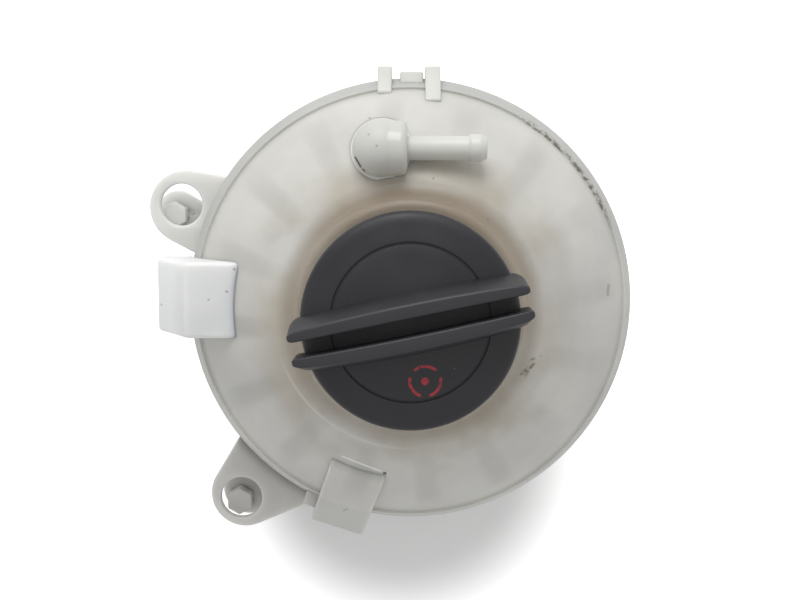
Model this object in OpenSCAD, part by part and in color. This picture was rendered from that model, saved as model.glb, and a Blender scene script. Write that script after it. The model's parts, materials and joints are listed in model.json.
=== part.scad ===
// Coolant expansion tank for an engine bay. Two moulded half shells are welded at a flange. A screw
// cap with a twin bar grip carries the pressure valve and the vacuum valve, and a level sensor plugs
// into the side. The origin is the centre of the flat base, and +Z runs up through the filler neck.

/* [Shells] */
// Outside diameter of the weld flange
flange_d = 156; // [150:1:164]
// Height of the weld plane above the base
weld_h = 64; // [60:1:70]
// Thickness of the flange on each half
flange_t = 6; // [4:0.5:7]
// Width of the flange outside the foot of the dome
flange_w = 5; // [4:0.5:6]
// Height of the sloped band between the weld plane and the dome
band_h = 13; // [10:0.5:15]
// Rise of the dome from the band to the edge of the neck collar
dome_rise = 33; // [30:1:36]
// Diameter of the flat base
base_d = 60; // [50:1:66]
// Wall of both shells
wall = 2.6; // [2.2:0.1:3.2]
// Number of stiffening ribs under the dome
rib_count = 16; // [8:2:20]
// Thickness of a stiffening rib
rib_t = 1.8; // [1.4:0.1:2.4]
// Depth of a stiffening rib below the dome
rib_depth = 10; // [6:1:12]

/* [Filler neck] */
// Bore of the neck
neck_bore_d = 47; // [45:0.5:48]
// Wall of the neck
neck_wall = 4.5; // [4:0.25:5]
// Height of the neck above its collar
neck_h = 11.8; // [11:0.2:14]
// Diameter of the flat collar round the neck
collar_d = 74; // [72:1:78]
// Height of the collar above the dome at its edge
collar_rise = 4.2; // [4:0.2:6]
// Width of the hollow fillet outside the collar
collar_fillet = 7; // [5:0.5:8]
// Advance of the screw thread in one turn
thread_lead = 6; // [5:0.5:6.5]
// Height of the thread ridge
thread_depth = 1.6; // [1.2:0.1:1.8]
// Gap between the two threads
thread_gap = 0.5; // [0.4:0.05:0.6]

/* [Vent elbow] */
// Distance of the elbow from the tank axis
vent_r = 54; // [52:0.5:57]
// Angle of the elbow round the tank
vent_angle = 99.7; // [95:0.1:105]
// Diameter of the round elbow
elbow_d = 17.4; // [16:0.2:20]
// Height of the vent tube above the dome at the elbow
vent_rise = 6.9; // [6:0.1:9]
// Outside diameter of the vent tube
vent_d = 7.8; // [7:0.1:8.4]
// Bore of the vent tube
vent_bore_d = 4.4; // [3.6:0.1:5]
// Length of the vent tube from the elbow's centre
vent_l = 33.6; // [30:0.2:38]
// Length of the thicker end of the vent tube
vent_end_l = 5.4; // [4:0.2:8]
// Height of the thicker end above the tube
vent_end_rise = 0.6; // [0.4:0.1:1]

/* [Brackets on the dome] */
// Angle of the hooded pocket round the tank
pocket_angle = 180; // [176:1:184]
// Width of the hooded pocket
pocket_w = 25.6; // [22:0.2:28]
// Sideways offset of the pocket from the tank axis
pocket_shift = -3; // [-4:0.5:0]
// Height of the pocket's top above the weld plane
pocket_rise = 31; // [28:0.5:32]
// Reach of the pocket's top from the tank axis
pocket_top_reach = 75.2; // [73:0.2:79]
// Full reach of the pocket from the tank axis
pocket_reach = 88; // [86:0.5:92]
// Height of the pocket's upright wall
pocket_side_h = 10; // [7:0.5:12]
// Wall of the pocket and of the lower bracket
bracket_wall = 2.4; // [2:0.1:3]
// Angle of the lower bracket round the tank
bracket_angle = 252; // [247:1:255]
// Width of the lower bracket
bracket_w = 19; // [16:0.5:20]
// Full reach of the lower bracket from the tank axis
bracket_reach = 84.5; // [82:0.5:86]
// Height of the lower bracket's top above the weld plane
bracket_rise = 14; // [12:0.5:16]
// Reach of the clip rails from the tank axis
clip_reach = 81.8; // [80:0.2:84]

/* [Mounting lugs] */
// Height of the lugs' upper face above the base
lug_h = 54; // [50:1:56]
// Thickness of a lug plate
lug_t = 4; // [3:0.5:5]
// Diameter of the hole in a lug
lug_hole_d = 15.2; // [14:0.2:16]
// Distance of the hole outside the centre of the lug's end circle
lug_hole_shift = 2.2; // [0:0.2:2.6]
// Angle of the first lug round the tank
lug_a_angle = 157.9; // [155:0.1:162]
// Distance of the first lug's end circle from the tank axis
lug_a_reach = 87.1; // [85:0.1:90]
// Radius of the first lug's end
lug_a_r = 13.5; // [12.5:0.25:15]
// Angle of the second lug round the tank
lug_b_angle = 230.1; // [228:0.1:233]
// Distance of the second lug's end circle from the tank axis
lug_b_reach = 94.9; // [92:0.1:97]
// Radius of the second lug's end
lug_b_r = 12.5; // [12:0.25:14]
// Width across the flats of the stud below a lug
stud_flats = 8.6; // [7:0.2:9.4]
// Diameter of the round locating peg
peg_d = 8; // [7:0.25:9]
// Length of the round locating peg below its arm
peg_l = 16; // [12:1:18]
// Thickness of the arm that carries a peg
arm_t = 3; // [2.5:0.25:4]
// Height from the arm's upper face to the stud's top
stud_h = 7; // [5:0.5:8]
// Gap between a stud's top and the lug plate
stud_gap = 0.5; // [0.3:0.1:1]

/* [Outlet and level sensor] */
// Outside diameter of the outlet nozzle
outlet_d = 21; // [19:0.5:22]
// Bore of the outlet nozzle
outlet_bore_d = 16; // [14:0.5:17]
// Angle of the outlet nozzle round the tank
outlet_angle = 270; // [262:1:278]
// Height of the outlet's axis above the base
outlet_h = 14; // [13:0.5:18]
// Reach of the outlet nozzle from the tank axis
outlet_reach = 76; // [74:0.5:78]
// Height of the raised end above the nozzle
outlet_end_rise = 0.8; // [0.5:0.1:1.2]
// Angle of the sensor boss round the tank
sensor_angle = 0; // [-8:1:8]
// Height of the sensor's axis above the base
sensor_h = 18; // [15:0.5:22]
// Diameter of the plug of the level sensor
sensor_d = 18; // [16:0.5:20]
// Distance of the sensor boss's face from the tank axis
boss_reach = 67; // [66:0.5:69]
// Length of the sensor's connector shroud
shroud_l = 10; // [8:0.5:11]
// Diameter of a sensor electrode
electrode_d = 2.4; // [2:0.1:3]
// Spacing of the two electrodes
electrode_gap = 8; // [7:0.25:9]
// Length of an electrode inside the tank
electrode_l = 26; // [18:1:30]

/* [Cap] */
// Outside diameter of the cap
cap_d = 68; // [67:0.5:72]
// Thickness of the cap's skirt
skirt_t = 2.5; // [2:0.1:3]
// Radius of the gently domed top of the cap
cap_dome_r = 157; // [120:1:220]
// Thickness of the cap over its inner flange
cap_t = 2.6; // [2.2:0.1:3.2]
// Diameter of the ring groove on top of the cap
groove_d = 48.6; // [46:0.2:50]
// Length of the two grip bars
grip_l = 74; // [70:1:78]
// Width over both grip bars at the middle
grip_w = 20.6; // [19:0.2:22]
// Width of the valley between the bars at the middle
valley_w = 7; // [6:0.2:8]
// Height of the grip bars above the cap
grip_h = 10.5; // [9:0.5:12]
// Turn of the grip bars in the closed position
grip_turn = 11.7; // [0:0.1:30]

/* [Cap valve] */
// Thickness of the flat gasket on the neck
gasket_t = 1.4; // [1:0.1:1.8]
// Thickness of the valve housing's flange
housing_flange_t = 1.6; // [1.4:0.1:2.4]
// Depth of the valve housing below the neck's top
housing_l = 22; // [21:0.5:25]
// Diameter of the valve chamber
chamber_d = 27; // [26:0.5:28]
// Wall of the valve chamber
chamber_wall = 2; // [1.6:0.1:2.4]
// Diameter of the port under the pressure valve
port_d = 13.6; // [13:0.1:14.2]
// Diameter of the O-ring's cord
oring_d = 1.8; // [1.6:0.1:2]
// Diameter of the pressure valve plate
plate_d = 24; // [23:0.25:25]
// Mean diameter of the pressure spring
spring_d = 17; // [16:0.25:18]
// Wire diameter of the pressure spring
spring_wire_d = 1.8; // [1.4:0.1:2]
// Diameter of the vacuum valve plate
vacuum_plate_d = 11.6; // [11:0.1:12]
// Diameter of the vacuum valve's stem
stem_d = 3; // [2.6:0.1:3.4]
// Free height of the vacuum spring
vacuum_spring_h = 4; // [3.5:0.1:4.5]

/* [Clearances] */
// Running clearance of the housing flange in the cap
run_clear = 0.08; // [0.05:0.01:0.1]
// Clearance above and below the housing flange in the cap
float_clear = 0.2; // [0.15:0.05:0.3]
// Clearance of plugs in their bores
plug_clear = 0.1; // [0.06:0.01:0.15]
// Running clearance of the vacuum valve's stem
stem_clear = 0.05; // [0.03:0.01:0.08]

/* [Hidden] */
$fn = 96;

// A little more than nothing, so that cuts run through their faces
eps = 0.01;
// Larger than the whole tank, for cutting planes
far = 400;

// Shells
flange_r = flange_d / 2;
foot_r = flange_r - flange_w;
band_top = weld_h + band_h;
land_top = weld_h + flange_t / 2;
land_in = foot_r - wall + 0.4;
flange_low = weld_h - flange_t;
collar_r = collar_d / 2;
dome_top = band_top + dome_rise;
dome_cz = (dome_top^2 + collar_r^2 - band_top^2 - foot_r^2) / (2 * (dome_top - band_top));
dome_r = sqrt(foot_r^2 + (band_top - dome_cz)^2);
base_r = base_d / 2;
bowl_cz = (flange_low^2 + foot_r^2 - base_r^2) / (2 * flange_low);
bowl_r = sqrt(base_r^2 + bowl_cz^2);
weld_chamfer = 0.7;

// Filler neck
neck_bore_r = neck_bore_d / 2;
neck_r = neck_bore_r + neck_wall;
collar_top = dome_top + collar_rise;
neck_top = collar_top + neck_h;
thread_base = 2.4;
thread_tip = 1.2;
thread_start_z = collar_top + 3.2;
neck_thread_sweep = 400;
cap_thread_start = 200;
cap_thread_sweep = 310;
thread_sink = 0.6;

// Vent elbow
elbow_r = elbow_d / 2;
vent_x = vent_r * cos(vent_angle);
vent_y = vent_r * sin(vent_angle);
vent_z = dome_z(vent_r) + vent_rise;

// Lugs
lug_low = lug_h - lug_t;
arm_top = lug_low - stud_gap - stud_h;
arm_low = arm_top - arm_t;

// Cap
cap_r = cap_d / 2;
skirt_bore_r = neck_r + thread_depth + thread_gap;
skirt_r = skirt_bore_r + skirt_t;
skirt_low = collar_top + 1;
housing_flange_r = neck_r - 0.8;
flange_seat = neck_top + gasket_t;
cavity_top = flange_seat + housing_flange_t + float_clear;
cap_top = cavity_top + cap_t + dome_drop(housing_flange_r, cap_dome_r);
rim_top = cap_top - dome_drop(cap_r, cap_dome_r) - 1;
rim_h = 4.4;
rim_round = 1.4;
lip_r = housing_flange_r - 0.8;
gasket_r = lip_r - 0.4;

// Cap valve
housing_r = neck_bore_r - plug_clear;
housing_low = neck_top - housing_l;
chamber_r = chamber_d / 2;
floor_t = 2.5;
floor_top = housing_low + floor_t;
seat_h = 0.8;
seat_top = floor_top + seat_h;
seal_t = 1.5;
plate_low = seat_top + seal_t;
plate_t = 1.8;
plate_top = plate_low + plate_t;
hub_r = 4;
hub_top = plate_top + 2.4;
retainer_t = 2.4;
retainer_top = flange_seat;
retainer_low = retainer_top - retainer_t;
groove_w = oring_d + 0.6;
oring_z = neck_top - 8;
oring_mid_r = neck_bore_r - 0.05 - oring_d / 2;
vacuum_seal_t = 1.2;
vacuum_plate_t = 1.4;
vacuum_plate_top = plate_low - vacuum_seal_t;
stem_r = stem_d / 2;
spring_seat_low = hub_top + vacuum_spring_h;
spring_seat_t = 1;

// Sensor
boss_r = sensor_d / 2 + 3.2;
sensor_r = sensor_d / 2 - plug_clear;
sensor_flange_t = 2;
clip_t = 1.2;
clip_u = boss_reach - 3;
clip_slot_w = clip_t + 0.2;
clip_neck_r = sensor_r - 1.4;
seal_u = clip_u - clip_slot_w / 2 - 1 - groove_w / 2;

// Height of the dome's outer face at a distance from the axis
function dome_z(r) = dome_cz + sqrt(dome_r^2 - r^2);
// Distance of the bowl's outer face from the axis at a height
function bowl_x(z) = sqrt(bowl_r^2 - (z - bowl_cz)^2);
// How far a sphere of radius big drops at distance r from its top
function dome_drop(r, big) = big - sqrt(big^2 - r^2);
// Point at a distance and an angle from a centre
function polar(r, a, c = [0, 0]) = [c[0] + r * cos(a), c[1] + r * sin(a)];
// Tangent point on a circle from a point outside it; side is 1 or -1
function tangent_point(c, r, p, side) =
    let (d = norm(p - c), a = atan2(p[1] - c[1], p[0] - c[0]))
    polar(r, a + side * acos(r / d), c);
// Outline of a rectangle with round corners, centred on the origin
function round_rect(w, h, r, steps = 5) = [
    for (corner = [0:3]) for (i = [0:steps])
        let (sx = (corner == 0 || corner == 3) ? 1 : -1, sy = corner < 2 ? 1 : -1)
        polar(r, 90 * (corner + i / steps), [sx * (w / 2 - r), sy * (h / 2 - r)])
];

// Solid of revolution from a profile that may cross the axis
module turned() {
    rotate_extrude() intersection() {
        children();
        translate([0, -far]) square([far, 2 * far]);
    }
}

// Turns the children to an angle round the tank
module at_angle(a) {
    rotate([0, 0, a]) children();
}

// Cylinder along +X from u1 to u2
module bar_x(r, u1, u2) {
    translate([u1, 0, 0]) rotate([0, 90, 0]) cylinder(r = r, h = u2 - u1);
}

// Helical ridge with a trapezoid section. Its base is at base_r and its crest stands depth away,
// outwards when depth is positive. It rises by lead in each turn and fades out at both ends.
module helical_ridge(base_r, depth, lead, start, sweep, z0) {
    step = 10;
    n = ceil(sweep / step);
    fade = 2;
    section = function(i)
        let (
            a = start + sweep * i / n,
            z = z0 + lead * (sweep * i / n) / 360,
            f = min(1, (i + 0.4) / fade, (n - i + 0.4) / fade),
            crest = base_r + depth * f
        ) [
            [base_r * cos(a), base_r * sin(a), z - thread_base / 2],
            [crest * cos(a), crest * sin(a), z - thread_tip / 2],
            [crest * cos(a), crest * sin(a), z + thread_tip / 2],
            [base_r * cos(a), base_r * sin(a), z + thread_base / 2]
        ];
    points = [for (i = [0:n]) each section(i)];
    skin = [
        for (i = [0:n - 1]) for (k = [0:3])
            let (p = 4 * i + k, q = 4 * i + (k + 1) % 4)
            each [[p, q, q + 4], [p, q + 4, p + 4]]
    ];
    ends = [[2, 1, 0], [3, 2, 0], [4 * n, 4 * n + 1, 4 * n + 2], [4 * n, 4 * n + 2, 4 * n + 3]];
    faces = concat(skin, ends);
    polyhedron(points = points, faces = depth > 0 ? faces : [for (f = faces) [f[2], f[1], f[0]]]);
}

// Coil spring with ground ends between two heights
module coil(mean_r, wire_r, low, high, turns, steps, sides) {
    n = turns * steps;
    pitch_h = high - low - wire_r;
    ring = function(i)
        let (a = 360 * i / steps, z = low + wire_r / 2 + pitch_h * i / n)
        [for (k = [0:sides - 1])
            let (b = 360 * k / sides, r = mean_r + wire_r * cos(b))
            [r * cos(a), r * sin(a), z + wire_r * sin(b)]];
    points = [for (i = [0:n]) each ring(i)];
    skin = [
        for (i = [0:n - 1]) for (k = [0:sides - 1])
            let (p = sides * i + k, q = sides * i + (k + 1) % sides)
            each [[p, q + sides, q], [p, p + sides, q + sides]]
    ];
    first = [for (k = [1:sides - 2]) [0, k, k + 1]];
    last = [for (k = [1:sides - 2]) [sides * n, sides * n + k + 1, sides * n + k]];
    intersection() {
        polyhedron(points = points, faces = concat(skin, first, last));
        translate([0, 0, low]) cylinder(r = 2 * mean_r, h = high - low);
    }
}

// Upper shell

// Outer form of the dome, its flange, collar and neck, with the inside taken away
module dome_profile() {
    fillet_from = [collar_r, collar_top];
    fillet_to = [collar_r + collar_fillet, dome_z(collar_r + collar_fillet)];
    fillet_r = norm(fillet_to - fillet_from) * 0.9;
    mid = (fillet_from + fillet_to) / 2;
    along = (fillet_to - fillet_from) / norm(fillet_to - fillet_from);
    rise = sqrt(fillet_r^2 - (norm(fillet_to - fillet_from) / 2)^2);
    difference() {
        union() {
            intersection() {
                translate([0, dome_cz]) circle(dome_r);
                translate([0, weld_h]) square([far, far]);
            }
            polygon([[0, weld_h], [flange_r - weld_chamfer, weld_h], [flange_r, weld_h + weld_chamfer],
                     [flange_r, land_top], [foot_r + 1.2, band_top], [0, band_top]]);
            translate([0, weld_h]) square([neck_r, neck_top - weld_h]);
            difference() {
                polygon([[0, weld_h], [foot_r - 10, weld_h], fillet_to - [0, 1.2], fillet_to,
                         fillet_from, [0, collar_top]]);
                translate(mid + rise * [-along[1], along[0]]) circle(fillet_r);
            }
        }
        intersection() {
            translate([0, dome_cz]) circle(dome_r - wall);
            polygon([[0, 0], [land_in, 0], [land_in, land_top - 1], [flange_r - wall - 1, land_top],
                     [foot_r - wall, band_top], [foot_r - wall, far], [0, far]]);
        }
        square([neck_bore_r, neck_top + 1]);
    }
}

// Shallow ribs that stiffen the dome from inside
module dome_ribs() {
    intersection() {
        turned() difference() {
            intersection() {
                translate([0, dome_cz]) circle(dome_r - wall / 2);
                translate([neck_r + 4, weld_h + 1]) square([far, far]);
            }
            translate([0, dome_cz]) circle(dome_r - wall - rib_depth);
        }
        union() {
            for (i = [0:rib_count / 2 - 1])
                at_angle(180 * i / (rib_count / 2))
                    translate([-far / 2, -rib_t / 2, weld_h]) cube([far, rib_t, far / 4]);
        }
    }
}

// Round elbow with the vent tube that leaves it sideways
module vent_elbow() {
    foot_z = dome_z(vent_r + elbow_r) - wall / 2;
    difference() {
        translate([vent_x, vent_y, 0]) {
            intersection() {
                union() {
                    translate([0, 0, foot_z]) cylinder(r = elbow_r, h = vent_z - foot_z);
                    translate([0, 0, vent_z]) sphere(elbow_r);
                }
                translate([0, 0, foot_z]) cylinder(r = elbow_r + 1, h = far / 4);
            }
            translate([0, 0, vent_z]) {
                bar_x(vent_d / 2, 0, vent_l);
                bar_x(vent_d / 2 + vent_end_rise, vent_l - vent_end_l, vent_l - 1);
            }
        }
        translate([0, 0, dome_cz]) sphere(dome_r - wall / 2);
    }
}

// Way of the vent from the tube's end through the elbow into the tank
module vent_way() {
    translate([vent_x, vent_y, 0]) {
        translate([0, 0, vent_z]) bar_x(vent_bore_d / 2, 0, vent_l + 1);
        translate([0, 0, vent_z - far / 8]) cylinder(r = vent_bore_d / 2, h = far / 8 + vent_bore_d / 4);
    }
}

// Hooded bracket, open underneath, that leans over the flange. Its profile runs outwards along +X.
module hood(w, top_reach, reach, top_h, side_top, low_h, corner) {
    inner = foot_r - 25;
    t = bracket_wall;
    slope = norm([reach - top_reach, top_h - side_top]) / (top_h - side_top);
    difference() {
        intersection() {
            rotate([90, 0, 0]) translate([0, 0, -w / 2]) linear_extrude(w)
                polygon([[inner, low_h], [reach, low_h], [reach, side_top], [top_reach, top_h],
                         [inner, top_h]]);
            translate([0, 0, low_h - 1]) linear_extrude(top_h - low_h + 2)
                translate([reach - far / 8, 0]) polygon(round_rect(far / 4, w, corner));
        }
        rotate([90, 0, 0]) translate([0, 0, -w / 2 + t]) linear_extrude(w - 2 * t)
            polygon([[inner - 1, low_h - 1], [reach - t, low_h - 1], [reach - t, side_top - t / 2],
                     [top_reach - t * slope + t / 2, top_h - t], [inner - 1, top_h - t]]);
        translate([0, 0, dome_cz]) sphere(dome_r - wall / 2);
        translate([0, 0, -1]) cylinder(r = foot_r - 1.6, h = band_top + 1);
        translate([0, 0, -1]) cylinder(r = flange_r + 0.15, h = weld_h + 1);
    }
}

// Two rails and a tongue on the flange, for a hose or cable clip
module clip_rails() {
    at_angle(90) {
        for (rail = [[6.3, 4.9, foot_r], [-10.4, 5.3, foot_r - 3]])
            translate([0, rail[0], 0]) rotate([90, 0, 0]) mirror([0, 0, 1]) linear_extrude(rail[1])
                polygon([[foot_r - 0.6, weld_h + 1], [clip_reach, weld_h + 1],
                         [clip_reach, weld_h + flange_t + 1], [rail[2], dome_z(rail[2]) + 0.8],
                         [rail[2] - 1, dome_z(rail[2] - 1) - 1], [foot_r - 1.2, band_top - 1]]);
        translate([foot_r - 0.6, -4.5, weld_h + 1.5])
            cube([clip_reach - 1.8 - foot_r + 0.6, 8, flange_t - 1]);
    }
}

module upper_shell() {
    color([0.9, 0.9, 0.86, 1]) difference() {
        union() {
            turned() dome_profile();
            dome_ribs();
            vent_elbow();
            at_angle(pocket_angle) translate([0, pocket_shift, 0])
                hood(pocket_w, pocket_top_reach, pocket_reach, weld_h + pocket_rise,
                     weld_h + pocket_side_h, weld_h + 1, 3);
            at_angle(bracket_angle)
                hood(bracket_w, bracket_reach - 4, bracket_reach, weld_h + bracket_rise,
                     weld_h + bracket_rise - 6, weld_h - 4, 2);
            clip_rails();
            helical_ridge(neck_r - thread_sink, thread_depth + thread_sink, thread_lead, 0,
                          neck_thread_sweep, thread_start_z);
        }
        vent_way();
    }
}

// Lower shell

module bowl_profile() {
    difference() {
        union() {
            intersection() {
                translate([0, bowl_cz]) circle(bowl_r);
                square([far, weld_h]);
            }
            polygon([[0, flange_low], [flange_r, flange_low], [flange_r, weld_h - weld_chamfer],
                     [flange_r - weld_chamfer, weld_h], [0, weld_h]]);
        }
        intersection() {
            translate([0, bowl_cz]) circle(bowl_r - wall);
            translate([0, wall]) square([far, far]);
        }
    }
}

// Centre of a lug's hole
function lug_hole(angle, reach) = polar(reach + lug_hole_shift, angle);

// Plan of a lug: a round end drawn in by its tangents to two points on the bowl
module lug_plan(angle, reach, end_r, root_a, root_b) {
    c = polar(reach, angle);
    root_r = bowl_x(lug_h) - wall;
    a = polar(root_r, root_a);
    b = polar(root_r, root_b);
    polygon([a, tangent_point(c, end_r, a, -1), c, tangent_point(c, end_r, b, 1), b,
             polar(root_r / 2, angle)]);
    translate(c) circle(end_r);
}

// Lug with its hole, its web, and below it the arm with the hexagonal stud and the round peg
module lug(angle, reach, end_r, root_a, root_b, stud_shift) {
    hole = lug_hole(angle, reach);
    stud = hole + stud_shift;
    stud_a = atan2(stud[1], stud[0]);
    root = bowl_x(arm_low) - wall;
    translate([0, 0, lug_low]) linear_extrude(lug_t) difference() {
        lug_plan(angle, reach, end_r, root_a, root_b);
        translate(hole) circle(lug_hole_d / 2);
    }
    // web under the lug, on the side away from the arm
    at_angle(root_b) translate([0, -1.2, 0]) rotate([90, 0, 0]) mirror([0, 0, 1])
        linear_extrude(2.4)
            polygon([[bowl_x(lug_low) - wall, lug_low + eps], [bowl_x(lug_low) + 3.5, lug_low + eps],
                     [bowl_x(lug_low - 18) - 1, lug_low - 18], [bowl_x(lug_low - 18) - wall, lug_low - 18]]);
    translate([0, 0, arm_low]) linear_extrude(arm_t) {
        polygon([polar(root, stud_a + 7), tangent_point(stud, peg_d / 2 + 1.5, polar(root, stud_a + 7), -1),
                 tangent_point(stud, peg_d / 2 + 1.5, polar(root, stud_a - 7), 1), polar(root, stud_a - 7)]);
        translate(stud) circle(peg_d / 2 + 1.5);
    }
    translate([stud[0], stud[1], 0]) {
        translate([0, 0, arm_top - eps]) cylinder(r = stud_flats / sqrt(3), h = stud_h, $fn = 6);
        translate([0, 0, arm_low - peg_l + 2]) cylinder(r = peg_d / 2, h = peg_l - 2 + eps);
        translate([0, 0, arm_low - peg_l]) cylinder(r1 = peg_d / 2 - 1.2, r2 = peg_d / 2, h = 2);
    }
}

// Short hose nozzle with a raised end, along +X from the bowl
module outlet_nozzle() {
    from = bowl_x(outlet_h) - 10;
    r = outlet_d / 2;
    bar_x(r, from, outlet_reach);
    bar_x(r + outlet_end_rise, outlet_reach - 6, outlet_reach - 4);
    translate([outlet_reach - 4, 0, 0]) rotate([0, 90, 0])
        cylinder(r1 = r + outlet_end_rise, r2 = r - 0.4, h = 4);
}

// Socket for the level sensor, with the two slots for its clip
module sensor_boss() {
    difference() {
        bar_x(boss_r, bowl_x(sensor_h) - 12, boss_reach);
        for (side = [-1, 1])
            translate([clip_u - clip_slot_w / 2, side > 0 ? clip_neck_r : -boss_r - 1, -boss_r - 1])
                cube([clip_slot_w, boss_r + 1 - clip_neck_r, 2 * boss_r + 2]);
    }
}

module lower_shell() {
    color([0.86, 0.86, 0.82, 1]) difference() {
        union() {
            difference() {
                union() {
                    lug(lug_a_angle, lug_a_reach, lug_a_r, 170.5, 143.5, [-3.2, -2.4]);
                    lug(lug_b_angle, lug_b_reach, lug_b_r, 245, 216.5, [-1, -1.4]);
                    at_angle(outlet_angle) translate([0, 0, outlet_h]) outlet_nozzle();
                    at_angle(sensor_angle) translate([0, 0, sensor_h]) sensor_boss();
                }
                translate([0, 0, bowl_cz]) sphere(bowl_r - wall / 2);
            }
            turned() bowl_profile();
        }
        at_angle(outlet_angle) translate([0, 0, outlet_h])
            bar_x(outlet_bore_d / 2, bowl_x(outlet_h) - 20, outlet_reach + 1);
        at_angle(sensor_angle) translate([0, 0, sensor_h])
            bar_x(sensor_d / 2, bowl_x(sensor_h) - 20, boss_reach + 1);
    }
}

// Cap

// One grip bar from three crossed profiles: its plan, its side and its section
module grip_bars() {
    low = rim_top - 2.5;
    high = cap_top + grip_h;
    half = grip_l / 2;
    outer_bow = 1.8;
    inner_bow = 1.3;
    outer_r = (half^2 + outer_bow^2) / (2 * outer_bow);
    inner_r = (half^2 + inner_bow^2) / (2 * inner_bow);
    lean = 1.5;
    for (turn = [0, 180]) rotate([0, 0, turn])
        intersection() {
            translate([0, 0, low]) linear_extrude(high - low) intersection() {
                difference() {
                    translate([0, grip_w / 2 - outer_r]) circle(outer_r, $fn = 720);
                    translate([0, valley_w / 2 - inner_r]) circle(inner_r, $fn = 720);
                }
                polygon(round_rect(grip_l, 2 * grip_w, 3));
                translate([-half, 0]) square([grip_l, grip_w]);
            }
            rotate([90, 0, 90]) translate([0, 0, -half]) linear_extrude(grip_l)
                polygon([[0, low], [grip_w / 2 + 0.2, low], [grip_w / 2 + 0.2, low + 2],
                         [grip_w / 2 - lean, high - 1.2], [grip_w / 2 - lean - 1.2, high],
                         [valley_w / 2 + 1, high], [valley_w / 2 - 0.2, high - 1.2], [0, cap_top - 1]]);
            rotate([90, 0, 0]) translate([0, 0, -grip_w]) linear_extrude(2 * grip_w)
                polygon([[-half + 2, low], [half - 2, low], [half, low + 3], [half, high - 3.5],
                         [half - 3, high - 0.8], [half / 2, high], [-half / 2, high],
                         [-half + 3, high - 0.8], [-half, high - 3.5], [-half, low + 3]]);
        }
}

module cap_profile() {
    difference() {
        union() {
            intersection() {
                translate([0, cap_top - cap_dome_r]) circle(cap_dome_r, $fn = 720);
                translate([0, rim_top - rim_h + rim_round]) square([cap_r - rim_round, far]);
            }
            translate([0, rim_top - rim_h + rim_round]) square([cap_r, rim_h - 2 * rim_round]);
            for (z = [rim_top - rim_round, rim_top - rim_h + rim_round])
                translate([cap_r - rim_round, z]) circle(rim_round);
            translate([0, rim_top - rim_h]) square([cap_r - rim_round, rim_h]);
            translate([0, skirt_low]) square([skirt_r, rim_top - rim_h / 2 - skirt_low]);
        }
        translate([0, flange_seat - float_clear])
            square([housing_flange_r + run_clear, cavity_top - flange_seat + float_clear]);
        translate([0, skirt_low - 1]) square([lip_r, flange_seat - skirt_low + 1]);
        translate([0, skirt_low - 1]) square([skirt_bore_r, neck_top + float_clear - skirt_low + 1]);
        translate([groove_d / 2 - 0.4, cap_top - dome_drop(groove_d / 2, cap_dome_r) - 0.5])
            square([0.8, 2]);
    }
}

module cap_cover() {
    start_z = thread_start_z - thread_lead / 2 + thread_lead * cap_thread_start / 360;
    color([0.13, 0.13, 0.14, 1]) union() {
        turned() cap_profile();
        difference() {
            rotate([0, 0, grip_turn]) grip_bars();
            cylinder(r = cap_r - 3, h = cavity_top + 1);
        }
        helical_ridge(skirt_bore_r + thread_sink, -thread_depth - thread_sink, thread_lead,
                      cap_thread_start, cap_thread_sweep, start_z);
    }
}

// Cap valve

module valve_housing() {
    pocket_r = housing_r - oring_d - 2.2;
    color([0.18, 0.18, 0.19, 1]) turned() difference() {
        union() {
            translate([0, housing_low]) square([housing_r - 1, floor_t]);
            translate([0, housing_low + 1]) square([housing_r, flange_seat - housing_low - 1 + eps]);
            translate([0, flange_seat]) square([housing_flange_r, housing_flange_t]);
        }
        translate([0, housing_low - 1]) square([port_d / 2, floor_t + 2]);
        translate([0, floor_top]) square([chamber_r, far]);
        translate([chamber_r + chamber_wall, floor_top]) square([pocket_r - chamber_r - chamber_wall, far]);
        translate([neck_bore_r - oring_d - 0.1, oring_z - groove_w / 2]) square([far, groove_w]);
    }
    color([0.18, 0.18, 0.19, 1]) turned()
        translate([port_d / 2 + 0.7, floor_top - eps]) square([1.5, seat_h + eps]);
}

// Disc pressed into the top of the valve chamber, which holds the spring down and lets steam out
module spring_retainer() {
    color([0.25, 0.25, 0.27, 1]) difference() {
        union() {
            translate([0, 0, retainer_low]) cylinder(r = chamber_r, h = retainer_t);
            translate([0, 0, retainer_low - 1.6])
                cylinder(r = spring_d / 2 - spring_wire_d / 2 - 0.3, h = 1.6 + eps);
        }
        translate([0, 0, retainer_low - 2]) cylinder(r = 5, h = retainer_t + 3);
        for (i = [0:3]) rotate([0, 0, 90 * i + 45])
            translate([chamber_r - 2.6, 0, retainer_low - 1]) cylinder(r = 1.3, h = retainer_t + 2);
    }
}

module neck_seal() {
    color([0.1, 0.1, 0.1, 1]) rotate_extrude()
        translate([oring_mid_r, oring_z]) circle(oring_d / 2);
}

module flat_ring(inner_r, outer_r, low, t) {
    translate([0, 0, low]) difference() {
        cylinder(r = outer_r, h = t);
        translate([0, 0, -1]) cylinder(r = inner_r, h = t + 2);
    }
}

module cap_gasket() {
    color([0.1, 0.1, 0.1, 1]) flat_ring(housing_r, gasket_r, neck_top, gasket_t);
}

module pressure_plate() {
    color([0.3, 0.3, 0.32, 1]) difference() {
        union() {
            translate([0, 0, plate_low]) cylinder(r = plate_d / 2, h = plate_t);
            translate([0, 0, plate_low]) cylinder(r = hub_r, h = hub_top - plate_low);
        }
        translate([0, 0, plate_low - 1]) cylinder(r = stem_r + stem_clear, h = hub_top - plate_low + 2);
        for (i = [0:3]) rotate([0, 0, 90 * i])
            translate([hub_r - 0.4, 0, plate_low - 1]) cylinder(r = 0.9, h = plate_t + far / 40);
    }
}

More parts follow.
